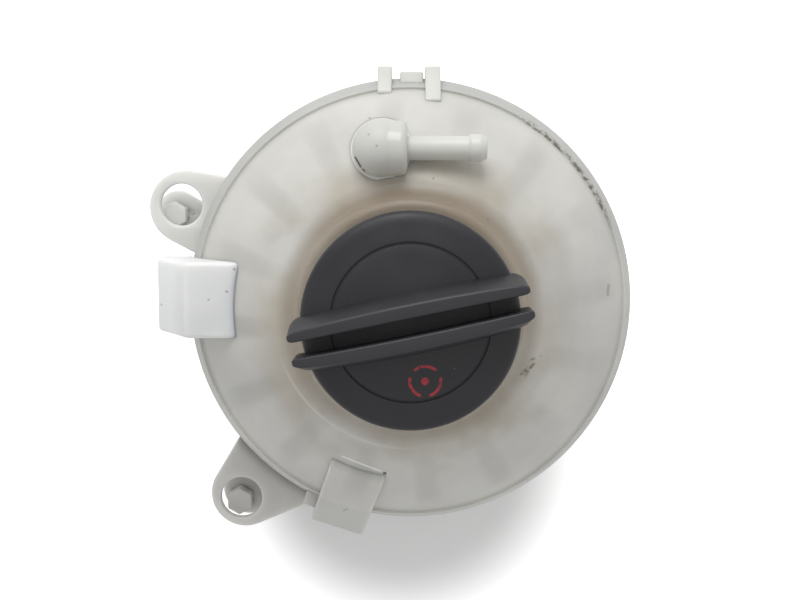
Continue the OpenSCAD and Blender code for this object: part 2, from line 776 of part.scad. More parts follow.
module pressure_seal() {
    color([0.1, 0.1, 0.1, 1]) flat_ring(port_d / 2 - 0.4, plate_d / 2 - 1.4, seat_top, seal_t);
}

module pressure_spring() {
    color([0.7, 0.7, 0.72, 1])
        coil(spring_d / 2, spring_wire_d / 2, plate_top, retainer_low, 4, 20, 6);
}

module vacuum_plate() {
    color([0.3, 0.3, 0.32, 1]) {
        translate([0, 0, vacuum_plate_top - vacuum_plate_t])
            cylinder(r = vacuum_plate_d / 2, h = vacuum_plate_t);
        translate([0, 0, vacuum_plate_top - eps])
            cylinder(r = stem_r, h = spring_seat_low + spring_seat_t + 0.6 - vacuum_plate_top + eps);
    }
}

module vacuum_seal() {
    color([0.1, 0.1, 0.1, 1])
        flat_ring(stem_r, vacuum_plate_d / 2, vacuum_plate_top, vacuum_seal_t);
}

module vacuum_spring() {
    color([0.7, 0.7, 0.72, 1]) coil(2.7, 0.3, hub_top, spring_seat_low, 4, 14, 5);
}

module vacuum_spring_seat() {
    color([0.6, 0.6, 0.62, 1]) flat_ring(stem_r, hub_r - 0.4, spring_seat_low, spring_seat_t);
}

// Level sensor, modelled along +X and turned to its place

module at_sensor() {
    at_angle(sensor_angle) translate([0, 0, sensor_h]) children();
}

// Plan of the connector shroud, seen along the sensor's axis
module shroud_plan(w, h) {
    rotate([0, 90, 0]) linear_extrude(shroud_l) rotate([0, 0, 90]) polygon(round_rect(w, h, 1.5));
}

module sensor_body() {
    inner_face = bowl_x(sensor_h) - 2 * wall;
    shroud_w = electrode_gap + 7;
    shroud_h = 9;
    color([0.12, 0.12, 0.13, 1]) at_sensor() difference() {
        union() {
            bar_x(sensor_r, inner_face, boss_reach + eps);
            bar_x(boss_r - 0.6, boss_reach, boss_reach + sensor_flange_t);
            translate([boss_reach + sensor_flange_t - eps, 0, 0]) shroud_plan(shroud_w, shroud_h);
            translate([boss_reach + sensor_flange_t + 2, -2, shroud_h / 2 - eps]) cube([5, 4, 1.2]);
        }
        translate([boss_reach + sensor_flange_t + 0.5, 0, 0])
            shroud_plan(shroud_w - 2.4, shroud_h - 2.4);
        for (side = [-1, 1])
            translate([0, side * electrode_gap / 2, 0])
                bar_x(electrode_d / 2, inner_face - 1, boss_reach + shroud_l);
        difference() {
            bar_x(sensor_r + 1, seal_u - groove_w / 2, seal_u + groove_w / 2);
            bar_x(sensor_d / 2 - oring_d - 0.1, 0, far / 4);
        }
        difference() {
            bar_x(sensor_r + 1, clip_u - clip_slot_w / 2, clip_u + clip_slot_w / 2);
            bar_x(clip_neck_r, 0, far / 4);
        }
    }
}

module sensor_seal() {
    color([0.1, 0.1, 0.1, 1]) at_sensor()
        translate([seal_u, 0, 0]) rotate([0, 90, 0]) rotate_extrude()
            translate([sensor_d / 2 - 0.05 - oring_d / 2, 0]) circle(oring_d / 2);
}

// Spring clip pushed through the boss from below, which locks the sensor's neck
module sensor_clip() {
    inner_w = 2 * clip_neck_r + 0.2;
    outer_w = 2 * (sensor_r + 1.2);
    color([0.7, 0.7, 0.72, 1]) at_sensor() translate([clip_u - clip_t / 2, 0, 0])
        rotate([90, 0, 90]) linear_extrude(clip_t) difference() {
            translate([-outer_w / 2, -boss_r - 3]) square([outer_w, 2 * boss_r + 1]);
            translate([-inner_w / 2, -boss_r - 0.3]) square([inner_w, far]);
        }
}

module electrode(side) {
    color([0.75, 0.75, 0.76, 1]) at_sensor() translate([0, side * electrode_gap / 2, 0])
        bar_x(electrode_d / 2, bowl_x(sensor_h) - electrode_l, boss_reach + sensor_flange_t + shroud_l - 3);
}

module electrode_left() { electrode(1); }
module electrode_right() { electrode(-1); }

upper_shell();
lower_shell();
cap_cover();
valve_housing();
spring_retainer();
neck_seal();
cap_gasket();
pressure_plate();
pressure_seal();
pressure_spring();
vacuum_plate();
vacuum_seal();
vacuum_spring();
vacuum_spring_seat();
sensor_body();
sensor_seal();
sensor_clip();
electrode_left();
electrode_right();
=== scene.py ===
# %% [markdown]
# # A coolant expansion tank with its screw cap
# The tank is two half shells of milky polypropylene, welded at a flange and closed by a black screw
# cap. The engineering model comes in as a fixed frame, and this script dresses it: the moulded pieces
# get rounded edges, blended feet and worn, stained plastic, the others get their finish.

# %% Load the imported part
import json
import math

import bmesh
import bpy
from mathutils import Matrix, Vector


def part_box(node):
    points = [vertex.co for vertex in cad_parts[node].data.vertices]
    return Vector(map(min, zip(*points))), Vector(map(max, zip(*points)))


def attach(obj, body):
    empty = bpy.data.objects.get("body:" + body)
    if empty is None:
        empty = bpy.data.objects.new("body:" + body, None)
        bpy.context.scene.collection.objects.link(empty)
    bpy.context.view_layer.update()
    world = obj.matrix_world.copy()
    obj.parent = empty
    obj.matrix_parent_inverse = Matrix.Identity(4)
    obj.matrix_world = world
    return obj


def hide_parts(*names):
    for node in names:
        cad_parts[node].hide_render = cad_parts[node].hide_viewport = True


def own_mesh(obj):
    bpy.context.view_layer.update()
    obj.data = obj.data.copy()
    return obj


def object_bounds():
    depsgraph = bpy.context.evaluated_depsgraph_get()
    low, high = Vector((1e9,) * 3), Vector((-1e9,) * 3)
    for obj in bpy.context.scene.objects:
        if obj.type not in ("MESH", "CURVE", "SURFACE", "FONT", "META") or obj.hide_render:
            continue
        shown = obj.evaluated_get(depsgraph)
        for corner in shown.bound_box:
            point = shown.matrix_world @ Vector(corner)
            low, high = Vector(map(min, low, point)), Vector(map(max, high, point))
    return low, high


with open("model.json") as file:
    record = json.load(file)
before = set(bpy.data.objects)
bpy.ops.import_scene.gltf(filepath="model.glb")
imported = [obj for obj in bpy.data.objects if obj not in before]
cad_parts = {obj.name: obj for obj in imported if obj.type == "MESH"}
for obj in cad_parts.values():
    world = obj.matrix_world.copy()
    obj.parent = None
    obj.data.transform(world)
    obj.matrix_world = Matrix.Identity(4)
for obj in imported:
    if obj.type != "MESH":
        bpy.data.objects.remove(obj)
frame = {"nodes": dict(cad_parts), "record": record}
cad_low, cad_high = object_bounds()
MM = 0.001
print("CAD box in mm", [round(x / MM, 1) for x in (*cad_low, *cad_high)])

# %% [markdown]
# ## Sizes
# Everything is measured from the frame, so that the dressed pieces stay in the solids' places. The
# flat base is at height 0 and the neck's axis is the Z axis. Sizes are in millimetres, as on the
# drawing of a moulded part, and become metres where a mesh is made.


# %% Heights and radii read from the frame
def frame_box(name):
    """Lowest and highest corner of a node, in millimetres."""
    low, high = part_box(name)
    return low / MM, high / MM


cap_low, cap_high = frame_box("cap_cover")
skirt_low = cap_low.z
grip_top = cap_high.z
grip_h = 10.5
cap_top = grip_top - grip_h
cap_r = 34.0
cap_ball_r = 157.0
neck_top = frame_box("cap_gasket")[0].z
cavity_top = frame_box("valve_housing")[1].z + 0.2
skirt_r = 32.6
skirt_bore_r = 30.1
housing_flange_r = 27.28
lip_r = 26.4
rib_count = 16
print("cap top at", round(cap_top, 2), "mm, neck top at", round(neck_top, 2), "mm")

# %% [markdown]
# ## Turning and extruding
# Most of a filler cap and a round tank is turned. An outline of radius and height is drawn as one
# flat face, its corners are rounded while it is still flat, and the spin operator carries its edges
# once round the axis, so every wall keeps its real thickness. What isn't turned starts as a flat
# face that is extruded along a vector.

# %% Helpers for bodies
SPIN_STEPS = 128
MERGE_WITHIN = 0.00001


def everything(bm):
    return list(bm.verts) + list(bm.edges) + list(bm.faces)


def only(geom, kind):
    """The verts or the edges among what an operator made."""
    return [item for item in geom if isinstance(item, kind)]


def soften(bm, geom, offset, segments, affect="EDGES"):
    """Rounds edges or corners."""
    bmesh.ops.bevel(bm, geom=geom, offset=offset, segments=segments, profile=0.5, affect=affect,
                    material=-1)


def spun(bm, geom, angle, steps, **more):
    """Carries geometry round the tank's axis."""
    return bmesh.ops.spin(bm, geom=geom, axis=(0, 0, 1), cent=(0, 0, 0), angle=angle, steps=steps, **more)


def merge_and_face_out(bm):
    bmesh.ops.remove_doubles(bm, verts=bm.verts, dist=MERGE_WITHIN)
    bmesh.ops.recalc_face_normals(bm, faces=bm.faces)


def turned(outline, steps=SPIN_STEPS, round_steps=4):
    """Closed body of revolution. The outline lists (radius, height, rounding) in millimetres."""
    bm = bmesh.new()
    corners = [bm.verts.new((r * MM, 0, z * MM)) for r, z, _ in outline]
    bm.faces.new(corners)
    for vert, (_, _, rounding) in zip(corners, outline):
        if rounding:
            soften(bm, [vert], rounding * MM, round_steps, "VERTICES")
    bmesh.ops.delete(bm, geom=list(bm.faces), context="FACES_ONLY")
    on_axis = [e for e in bm.edges if all(abs(v.co.x) < 1e-7 for v in e.verts)]
    bmesh.ops.delete(bm, geom=on_axis, context="EDGES")
    spun(bm, everything(bm), math.tau, steps, use_merge=True)
    merge_and_face_out(bm)
    return bm


def extruded(corners, vector, unit=MM):
    """Closed body from the corners of one flat face, which is carried along a vector."""
    bm = bmesh.new()
    face = bm.faces.new([bm.verts.new([c * unit for c in corner]) for corner in corners])
    grown = bmesh.ops.extrude_face_region(bm, geom=[face])["geom"]
    bmesh.ops.translate(bm, vec=[c * unit for c in vector], verts=only(grown, bmesh.types.BMVert))
    bmesh.ops.recalc_face_normals(bm, faces=bm.faces)
    return bm


# %% Helpers that move bodies and draw outlines
def moved(bm, x, y, z):
    """The same body, moved by millimetres."""
    bmesh.ops.translate(bm, vec=(x * MM, y * MM, z * MM), verts=bm.verts)
    return bm


def rotated(bm, degrees):
    """The same body, turned round the tank's axis."""
    bmesh.ops.rotate(bm, cent=(0, 0, 0), matrix=Matrix.Rotation(math.radians(degrees), 3, "Z"),
                     verts=bm.verts)
    return bm


def laid(bm, degrees, x, y, z):
    """The same body, laid from Z to X, moved, and turned round the tank's axis."""
    lie = (Matrix.Rotation(math.radians(degrees), 4, "Z") @ Matrix.Translation(Vector((x, y, z)) * MM)
           @ Matrix.Rotation(math.radians(90), 4, "Y"))
    bmesh.ops.transform(bm, matrix=lie, verts=bm.verts)
    return bm


def arc(x, y, radius, start, stop, steps):
    """Points of an arc for an outline, angles in degrees, with no rounding."""
    angles = [math.radians(start + (stop - start) * i / steps) for i in range(steps + 1)]
    return [(x + radius * math.cos(a), y + radius * math.sin(a), 0) for a in angles]


def sink(radius, ball):
    """How far a ball's surface drops at a distance from its top."""
    return ball - math.sqrt(ball * ball - radius * radius)


# %% [markdown]
# ## From bodies to pieces
# A moulded piece is one object, collected from its turned and extruded bodies. It is smooth shaded
# up to an angle, rides on its body and takes the place of the solid that it dresses.

# %% Helpers for meshes and objects
SMOOTH_BELOW = math.radians(35)


def mesh_of(bm, name):
    """Mesh from a bmesh, which is freed."""
    mesh = bpy.data.meshes.new(name)
    bm.to_mesh(mesh)
    bm.free()
    return mesh


def linked(name, data):
    """Object in the scene for a mesh, a curve, a lamp or a camera."""
    obj = bpy.data.objects.new(name, data)
    bpy.context.scene.collection.objects.link(obj)
    return obj


def collect(*parts):
    """One bmesh from several, which are freed."""
    whole = bmesh.new()
    for part in parts:
        mesh = mesh_of(part, "part")
        whole.from_mesh(mesh)
        bpy.data.meshes.remove(mesh)
    return whole


def use_finish(bm, index):
    """Gives every face of a bmesh the finish with that place in the piece's list."""
    for face in bm.faces:
        face.material_index = index
    return bm


def finished(bm, name, finishes, body, replaces):
    """Piece from a bmesh, riding on its body in place of solids."""
    mesh = mesh_of(bm, name)
    mesh.shade_smooth()
    mesh.set_sharp_from_angle(angle=SMOOTH_BELOW)
    for material in finishes:
        mesh.materials.append(material)
    obj = linked(name, mesh)
    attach(obj, body)
    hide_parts(*replaces)
    print(name, "has", len(mesh.polygons), "faces")
    return obj


# %% [markdown]
# ## Building materials
# A small helper places a node and wires it, so that a finish reads as a short recipe: coordinates
# first, then patterns, then colours. Patterns read Object coordinates, which are metres in the
# tank's own frame, so a stain stays where it is on the real part.


# %% Helpers that place and wire nodes
def wire(node, **inputs):
    """Links or sets a node's inputs, named with underscores, or as i and a number."""
    for key, value in inputs.items():
        numbered = key[0] == "i" and key[1:].isdigit()
        socket = node.inputs[int(key[1:]) if numbered else key.replace("_", " ")]
        if isinstance(value, bpy.types.NodeSocket):
            node.id_data.links.new(value, socket)
        else:
            socket.default_value = value


def place(beside, kind, settings=None, **inputs):
    """Adds a shader node to a tree, which is given by itself or by a socket in it."""
    node = beside.id_data.nodes.new("ShaderNode" + kind)
    for key, value in (settings or {}).items():
        setattr(node, key, value)
    wire(node, **inputs)
    return node


def srgb(red, green, blue):
    """Colour given as screen values from 0 to 255, as the linear colour a shader works with."""
    linear = [(c / 255 / 12.92 if c <= 10 else ((c / 255 + 0.055) / 1.055) ** 2.4)
              for c in (red, green, blue)]
    return (*linear, 1.0)


def mixed(factor, first, second):
    """Colour output of a mix of two colours."""
    return place(factor, "Mix", {"data_type": "RGBA"}, i0=factor, i6=first, i7=second).outputs[2]


def spread(value, low, high, to_low=0.0, to_high=1.0, soft=False):
    """Value mapped from one range to another, held at the ends, and eased there when it is soft."""
    kind = "SMOOTHSTEP" if soft else "LINEAR"
    made = place(value, "MapRange", {"clamp": True, "interpolation_type": kind}, Value=value,
                 From_Min=low, From_Max=high, To_Min=to_low, To_Max=to_high)
    return made.outputs[0]


def sums(kind, first, second=0.0):
    """Output of one math node."""
    return place(first, "Math", {"operation": kind}, i0=first, i1=second).outputs[0]


def times(first, *others):
    """Product of several values."""
    for other in others:
        first = sums("MULTIPLY", first, other)
    return first


def off(value, middle):
    """How far a value lies from a middle one, to either side."""
    return sums("ABSOLUTE", sums("SUBTRACT", value, middle))


def vectors(kind, first, **inputs):
    """Outputs of one vector math node."""
    return place(first, "VectorMath", {"operation": kind}, i0=first, **inputs).outputs


def object_coords(tree):
    return place(tree, "TexCoord").outputs["Object"]


def round_axis(spot):
    """Distance of a spot from the Z axis and its angle round it, as a share of a turn from -X."""
    flat = vectors("MULTIPLY", spot, i1=(1.0, 1.0, 0.0))[0]
    away = vectors("LENGTH", flat)["Value"]
    return away, place(flat, "TexGradient", {"gradient_type": "RADIAL"}, Vector=flat).outputs[1]


def new_material(name):
    """Material with its shader and its Object coordinates."""
    material = bpy.data.materials.new(name)
    material.use_nodes = True
    tree = material.node_tree
    tree.nodes.clear()
    shader = place(tree, "BsdfPrincipled")
    place(tree, "OutputMaterial", Surface=shader.outputs[0])
    return material, shader, object_coords(tree)


# %% [markdown]
# ## Shared effects
# Specks, cloudy tone and short strokes appear in more than one place, so each is a node group with
# named inputs. The groups give out masks only, and every material decides what to do with them.


# %% Groups for specks, clouds and strokes
def open_group(name, **inputs):
    """Node group with number or vector inputs, the sockets of its inputs and its coordinates."""
    group = bpy.data.node_groups.new(name, "ShaderNodeTree")
    for key, default in inputs.items():
        kind = "NodeSocketVector" if isinstance(default, tuple) else "NodeSocketFloat"
        group.interface.new_socket(key, in_out="INPUT", socket_type=kind).default_value = default
    group.interface.new_socket("Mask", in_out="OUTPUT", socket_type="NodeSocketFloat")
    return group, group.nodes.new("NodeGroupInput").outputs, object_coords(group)


def close_group(group, mask):
    """The group, giving out its mask."""
    wire(group.nodes.new("NodeGroupOutput"), Mask=mask)
    return group


def speck_group():
    """Mask of scattered small dots on a surface."""
    group, given, coords = open_group("specks", Cells=90.0, Size=0.05, Share=0.3)
    cells = place(group, "TexVoronoi", Vector=coords, Scale=given["Cells"])
    near = sums("LESS_THAN", cells.outputs["Distance"], given["Size"])
    chance = place(group, "SeparateColor", Color=cells.outputs["Color"]).outputs[0]
    chosen = sums("LESS_THAN", chance, given["Share"])
    return close_group(group, times(near, chosen))


def cloud_group():
    """Soft uneven tone from 0 to 1."""
    group, given, coords = open_group("clouds", Scale=30.0, Low=0.35, High=0.65)
    noise = place(group, "TexNoise", Vector=coords, Scale=given["Scale"], Detail=4.0)
    return close_group(group, spread(noise.outputs[0], given["Low"], given["High"]))


def stroke_group():
    """A short straight mark seen from above, on what lies over the weld, in metres and radians."""
    group, given, coords = open_group("strokes", Centre=(0.0, 0.0, 0.0), Angle=0.0, Length=0.01,
                                      Width=0.0005)
    turned_back = place(group, "VectorRotate", {"rotation_type": "Z_AXIS", "invert": True},
                        Vector=coords, Center=given["Centre"], Angle=given["Angle"]).outputs[0]
    local = vectors("SUBTRACT", turned_back, i1=given["Centre"])[0]
    parts = place(group, "SeparateXYZ", Vector=local).outputs
    across = sums("DIVIDE", sums("ABSOLUTE", parts[1]), given["Width"])
    along = sums("DIVIDE", sums("ABSOLUTE", parts[0]), given["Length"])
    height = place(group, "SeparateXYZ", Vector=coords).outputs[2]
    return close_group(group, times(spread(across, 0.3, 0.6, 1.0, 0.0),
                                    spread(along, 0.42, 0.5, 1.0, 0.0),
                                    spread(height, 0.066, 0.068)))


SPECKS = speck_group()
CLOUDS = cloud_group()
STROKES = stroke_group()
print("node groups:", [g.name for g in bpy.data.node_groups])


# %% Helpers that lay a mask on a colour
def masked(beside, group, **inputs):
    """Mask output of a group placed in a material."""
    return place(beside, "Group", {"node_tree": group}, **inputs).outputs["Mask"]


def painted(colour, mask, strength, shade):
    """Colour with a shade laid over it where a mask says so."""
    return mixed(times(mask, strength), colour, srgb(*shade))


def mark(colour, shade, x, y, angle, length, width, strength):
    """Colour with one straight mark painted on it, placed and sized in millimetres."""
    mask = masked(colour, STROKES, Centre=(x * MM, y * MM, 0.0), Angle=math.radians(angle),
                  Length=length * MM, Width=width * MM)
    return painted(colour, mask, strength, shade)


def cover(shader, colour, rough, coords, grain, detail, strength, depth):
    """Wires a colour, a roughness and a fine moulded grain into a shader."""
    noise = place(coords, "TexNoise", Vector=coords, Scale=grain, Detail=detail).outputs[0]
    bump = place(coords, "Bump", Strength=strength, Distance=depth, Height=noise).outputs[0]
    wire(shader, Base_Color=colour, Roughness=rough, Normal=bump)


# %% [markdown]
# ## Milky polypropylene
# Natural polypropylene lets light in a few millimetres before it comes out again, so it gets a little
# subsurface scattering. Old coolant turns it brown round the neck, and the brown ring beside the collar
# also carries painted shade, darkest towards the top. The ribs inside are painted as darker rays of shade,
# dirt gathers in the corner of the flange, and a thin arc of painted highlight lies round the collar on the
# lower left. Each of these is a mask made from the distance and the angle round the neck's axis, in metres
# and in shares of a turn: 0.25 is the outlet's side, 0.5 is where the vent tube points, and 0.75 is the top
# of the picture.

# %% Stains and dirt of the dome
ledge_highlight_r = 0.0447
corner_r = 0.0743


def rib_shade_rays(colour, radius, around):
    """Rays of painted shade where the ribs inside the dome shade its wall."""
    wave = sums("SINE", sums("MULTIPLY", around, rib_count * math.tau))
    ray = times(spread(wave, 0.1, 1.0, soft=True),
                spread(radius, 0.040, 0.056, soft=True),
                spread(radius, 0.064, 0.073, 1.0, 0.0),
                masked(colour, CLOUDS, Scale=16.0, Low=0.3, High=0.6))
    return painted(colour, ray, 0.6, (168, 167, 162))


def neck_stains_and_shade(colour, radius, around):
    """Wide pale halo and small patches of stain, and a brown ring at the collar, partly stain and partly
    painted shade, darkest at its top.
    """
    halo = times(spread(radius, 0.042, 0.060, 1.0, 0.0, soft=True),
                 masked(colour, CLOUDS, Scale=38.0, Low=0.3, High=0.62))
    colour = painted(colour, halo, 0.6, (168, 157, 138))
    patches = times(spread(radius, 0.038, 0.066, 1.0, 0.0),
                    masked(colour, CLOUDS, Scale=75.0, Low=0.5, High=0.66))
    colour = painted(colour, patches, 0.25, (160, 149, 133))
    # Brown ring at the collar: stain together with painted shade, made darkest towards the top.
    ring = spread(radius, 0.0385, 0.0445, 1.0, 0.0, soft=True)
    top = spread(off(around, 0.74), 0.10, 0.22, 0.95, 0.62)
    return painted(colour, ring, top, (140, 128, 112))


def flange_dirt_and_highlight(colour, radius, around):
    """Grey band at the dome's foot, a broken dark line of dirt in the corner, and a thin arc of painted
    highlight round the collar.
    """
    band = spread(radius, 0.0730, 0.0742)
    upper_left = spread(off(around, 0.80), 0.18, 0.32, 0.55, 0.15)
    colour = painted(colour, band, upper_left, (158, 160, 158))
    line = times(spread(around, 0.555, 0.575),
                 spread(around, 0.655, 0.675, 1.0, 0.0),
                 spread(off(radius, corner_r), 0.0005, 0.0013, 1.0, 0.0),
                 masked(colour, CLOUDS, Scale=620.0, Low=0.46, High=0.56))
    colour = painted(colour, line, 0.75, (98, 86, 72))
    # Painted highlight: a thin pale arc round the collar on the lower left.
    ledge_highlight = times(spread(off(radius, ledge_highlight_r), 0.0002, 0.0007, 1.0, 0.0),
                  spread(off(around, 0.16), 0.05, 0.11, 1.0, 0.0))
    return painted(colour, ledge_highlight, 0.5, (214, 213, 208))


def scuff(colour):
    """Plain dark scuff on the dome's right, broken up by a fine cloud."""
    mask = masked(colour, STROKES, Centre=(0.0387, -0.0172, 0.0), Angle=math.radians(53), Length=0.011,
                  Width=0.0024)
    mask = times(mask, masked(colour, CLOUDS, Scale=520.0, Low=0.46, High=0.58))
    return painted(colour, mask, 0.7, (92, 80, 66))


# %% Straight marks and painted highlights
# A row says shade, x, y, angle, length, width and strength.
# The first row is a scratch with a painted highlight along it.
DOME_MARKS_AND_HIGHLIGHT = [
    ((236, 236, 232), -16.2, -51.3, -22.2, 15.4, 0.7, 0.9),
    ((60, 58, 56), -8.5, -54.8, 0.0, 1.2, 1.2, 0.9),
    ((140, 143, 142), 67.2, 5.7, 84.0, 4.2, 1.4, 0.6)]
SPOTS = [(-13.5, 63.4, 0.9), (7.4, 43.6, 0.8), (-13.2, 57.4, 0.7), (-10.6, 53.8, 0.8), (-58.4, 13.5, 1.1),
         (-61.0, 6.0, 1.0), (-67.1, 3.3, 0.8), (-86.3, -0.3, 0.9), (-22.9, -71.8, 0.9)]
# The last row is a painted highlight on the vent elbow; the others are dirt spots and hairs.
SHELL_MARKS_AND_HIGHLIGHT = [
    *[((104, 98, 90), x, y, 30.0 * x, size, size * 0.8, 0.5) for x, y, size in SPOTS],
    ((40, 38, 36), -16.7, 48.8, -60.0, 4.2, 0.7, 0.9),
    ((48, 44, 40), -14.9, 46.2, -52.0, 1.3, 0.6, 0.9),
    ((240, 240, 234), -5.2, 56.9, -6.0, 4.6, 2.8, 0.4)]
print("marks:", len(DOME_MARKS_AND_HIGHLIGHT), "on the dome,", len(SHELL_MARKS_AND_HIGHLIGHT), "on all of the shell")


# %% Natural plastic of the two shells
def milky_plastic(name, base, stained=True, glow=0.5, lit_edge=None, flange_shaded=False):
    """Polypropylene of one kind of wall. The glow is its share of light that comes from inside."""
    material, shader, coords = new_material(name)
    radius, around = round_axis(coords)
    cloudy = srgb(base[0] - 14, base[1] - 14, base[2] - 12)
    colour = mixed(masked(coords, CLOUDS, Scale=26.0), srgb(*base), cloudy)
    if stained:
        # Painted shade of the ribs, stain and painted shade round the neck, and dirt with a painted
        # highlight by the flange.
        for effect in (rib_shade_rays, neck_stains_and_shade, flange_dirt_and_highlight):
            colour = effect(colour, radius, around)
        for row in DOME_MARKS_AND_HIGHLIGHT:
            colour = mark(colour, *row)
        colour = scuff(colour)
    # Painted light: lighter towards the outer end, past the flange.
    if lit_edge:
        colour = mixed(spread(radius, 0.076, 0.083), colour, srgb(*lit_edge))
    # Painted shadow of the flange: a darker band on the lower left next to the flange.
    if flange_shaded:
        root = spread(radius, 0.0785, 0.0855, 1.0, 0.25, soft=True)
        lower_left = spread(around, 0.22, 0.26, 0.9, 0.0)
        colour = painted(colour, root, lower_left, (112, 106, 100))
    dots = masked(coords, SPECKS, Cells=85.0, Size=0.035, Share=0.25)
    colour = painted(colour, dots, 0.7, (112, 106, 98))
    for row in SHELL_MARKS_AND_HIGHLIGHT:
        colour = mark(colour, *row)
    rough = spread(masked(coords, CLOUDS, Scale=60.0), 0.0, 1.0, 0.34, 0.5)
    cover(shader, colour, rough, coords, 420.0, 3.0, 0.12, 0.0004)
    wire(shader, Subsurface_Weight=glow, Subsurface_Scale=0.005, Subsurface_Radius=(1.0, 0.95, 0.85),
         IOR=1.49)
    return material


# The thin and plain copies of the same polypropylene have a lighter base, which is painted light for what
# shines through their thin walls.
natural_plastic = milky_plastic("natural_plastic", (208, 207, 201))
thin_plastic = milky_plastic("thin_plastic", (237, 238, 235), stained=False, glow=0.85,
                             lit_edge=(252, 252, 250))
plain_plastic = milky_plastic("plain_plastic", (230, 230, 226), stained=False, glow=0.8, flange_shaded=True)
firm_plastic = milky_plastic("firm_plastic", (214, 214, 207), stained=False, glow=0.0)
SHELL_FINISHES = [natural_plastic, thin_plastic, plain_plastic, firm_plastic]
THIN, PLAIN, FIRM = 1, 2, 3
print("finishes of the shells:", len(SHELL_FINISHES))

# %% [markdown]
# ## Black cap plastic
# The cap is black and finely grained, faded to a soft grey where fingers have worn it. A cloudy mask lifts
# both the colour and the roughness, and a fine bump stands for the grain. Its highest faces are lighter,
# partly from wear and partly as a painted sheen. The red mark on it is a plain ring of arcs.


# %% Black, dark, rubber and steel finishes
def solid_finish(name, base, worn, roughness, metallic=0.0, worn_and_lit_top=None):
    material, shader, coords = new_material(name)
    wear = masked(coords, CLOUDS, Scale=70.0, Low=0.42, High=0.72)
    colour = mixed(wear, srgb(*base), srgb(*worn))
    # Highest faces lighter: wear together with a painted sheen.
    if worn_and_lit_top:
        height = place(coords, "SeparateXYZ", Vector=coords).outputs[2]
        tops = spread(height, 0.1325, 0.1400, 0.0, 0.6)
        colour = mixed(tops, colour, srgb(*worn_and_lit_top))
    dust = masked(coords, SPECKS, Cells=160.0, Size=0.05, Share=0.15)
    colour = painted(colour, dust, 0.25, (150, 146, 140))
    rough = spread(wear, 0.0, 1.0, roughness, min(1.0, roughness + 0.12))
    cover(shader, colour, rough, coords, 900.0, 2.0, 0.15, 0.0003)
    wire(shader, Metallic=metallic)
    return material


def turn_mark(material, x, y, ring_r, line_w, dot_r):
    """Paints a plain ring of three red arcs round a dot on a finish, in millimetres."""
    tree = material.node_tree
    shader = next(n for n in tree.nodes if n.type == "BSDF_PRINCIPLED")
    below = shader.inputs["Base Color"].links[0].from_socket
    coords = object_coords(tree)
    away, turn = round_axis(vectors("SUBTRACT", coords, i1=(x * MM, y * MM, 0.0))[0])
    gaps = sums("SINE", sums("MULTIPLY", turn, 3 * math.tau))
    ring = times(spread(off(away, ring_r * MM), line_w * 0.4 * MM, line_w * 0.6 * MM, 1.0, 0.0),
                 spread(gaps, -0.75, -0.6))
    dot = spread(away, (dot_r - 0.1) * MM, (dot_r + 0.1) * MM, 1.0, 0.0)
    height = place(coords, "SeparateXYZ", Vector=coords).outputs[2]
    mask = times(sums("MAXIMUM", ring, dot), spread(height, 0.128, 0.129),
                 masked(coords, CLOUDS, Scale=900.0, Low=0.25, High=0.5))
    wire(shader, Base_Color=mixed(mask, below, srgb(164, 40, 52)))


black_plastic = solid_finish("black_plastic", (36, 36, 40), (44, 44, 48), 0.46)
cap_plastic = solid_finish("cap_plastic", (32, 32, 36), (40, 40, 44), 0.46, worn_and_lit_top=(53, 52, 57))
turn_mark(cap_plastic, 4.45, -17.8, 4.7, 0.9, 1.2)
dark_plastic = solid_finish("dark_plastic", (38, 38, 41), (50, 50, 52), 0.5)
seal_rubber = solid_finish("seal_rubber", (24, 24, 25), (34, 34, 35), 0.62)
spring_steel = solid_finish("spring_steel", (176, 176, 178), (150, 150, 152), 0.28, 1.0)
electrode_steel = solid_finish("electrode_steel", (190, 188, 184), (160, 158, 154), 0.24, 1.0)
FINISHES = dict(natural_plastic=natural_plastic, black_plastic=black_plastic, dark_plastic=dark_plastic,
                seal_rubber=seal_rubber, spring_steel=spring_steel, electrode_steel=electrode_steel)
print("finishes:", sorted(FINISHES))

# %% [markdown]
# ## Finishes on the solids that stay
# Seals, valve plates and the sensor have the right shape already. Each gets the finish that the
# parts list names for it.

# %% Give every node its finish
slot_of = {row["node"]: row["material_slot"] for row in frame["record"]["subparts"]}
for name, obj in frame["nodes"].items():
    obj.data.materials.clear()
    obj.data.materials.append(FINISHES[slot_of[name]])
print("finished", len(slot_of), "nodes")

# %% [markdown]
# ## Screw threads
# A spin with a step along its axis draws a screw. The thread's small section is carried round while
# it climbs by the lead, and both ends are pulled into the wall so that the thread runs out as a
# moulded one does.

# %% Thread ridge
thread_lead = 6.0
thread_depth = 1.6
thread_foot = 1.25
thread_crest = 0.6
thread_fade = math.radians(14)


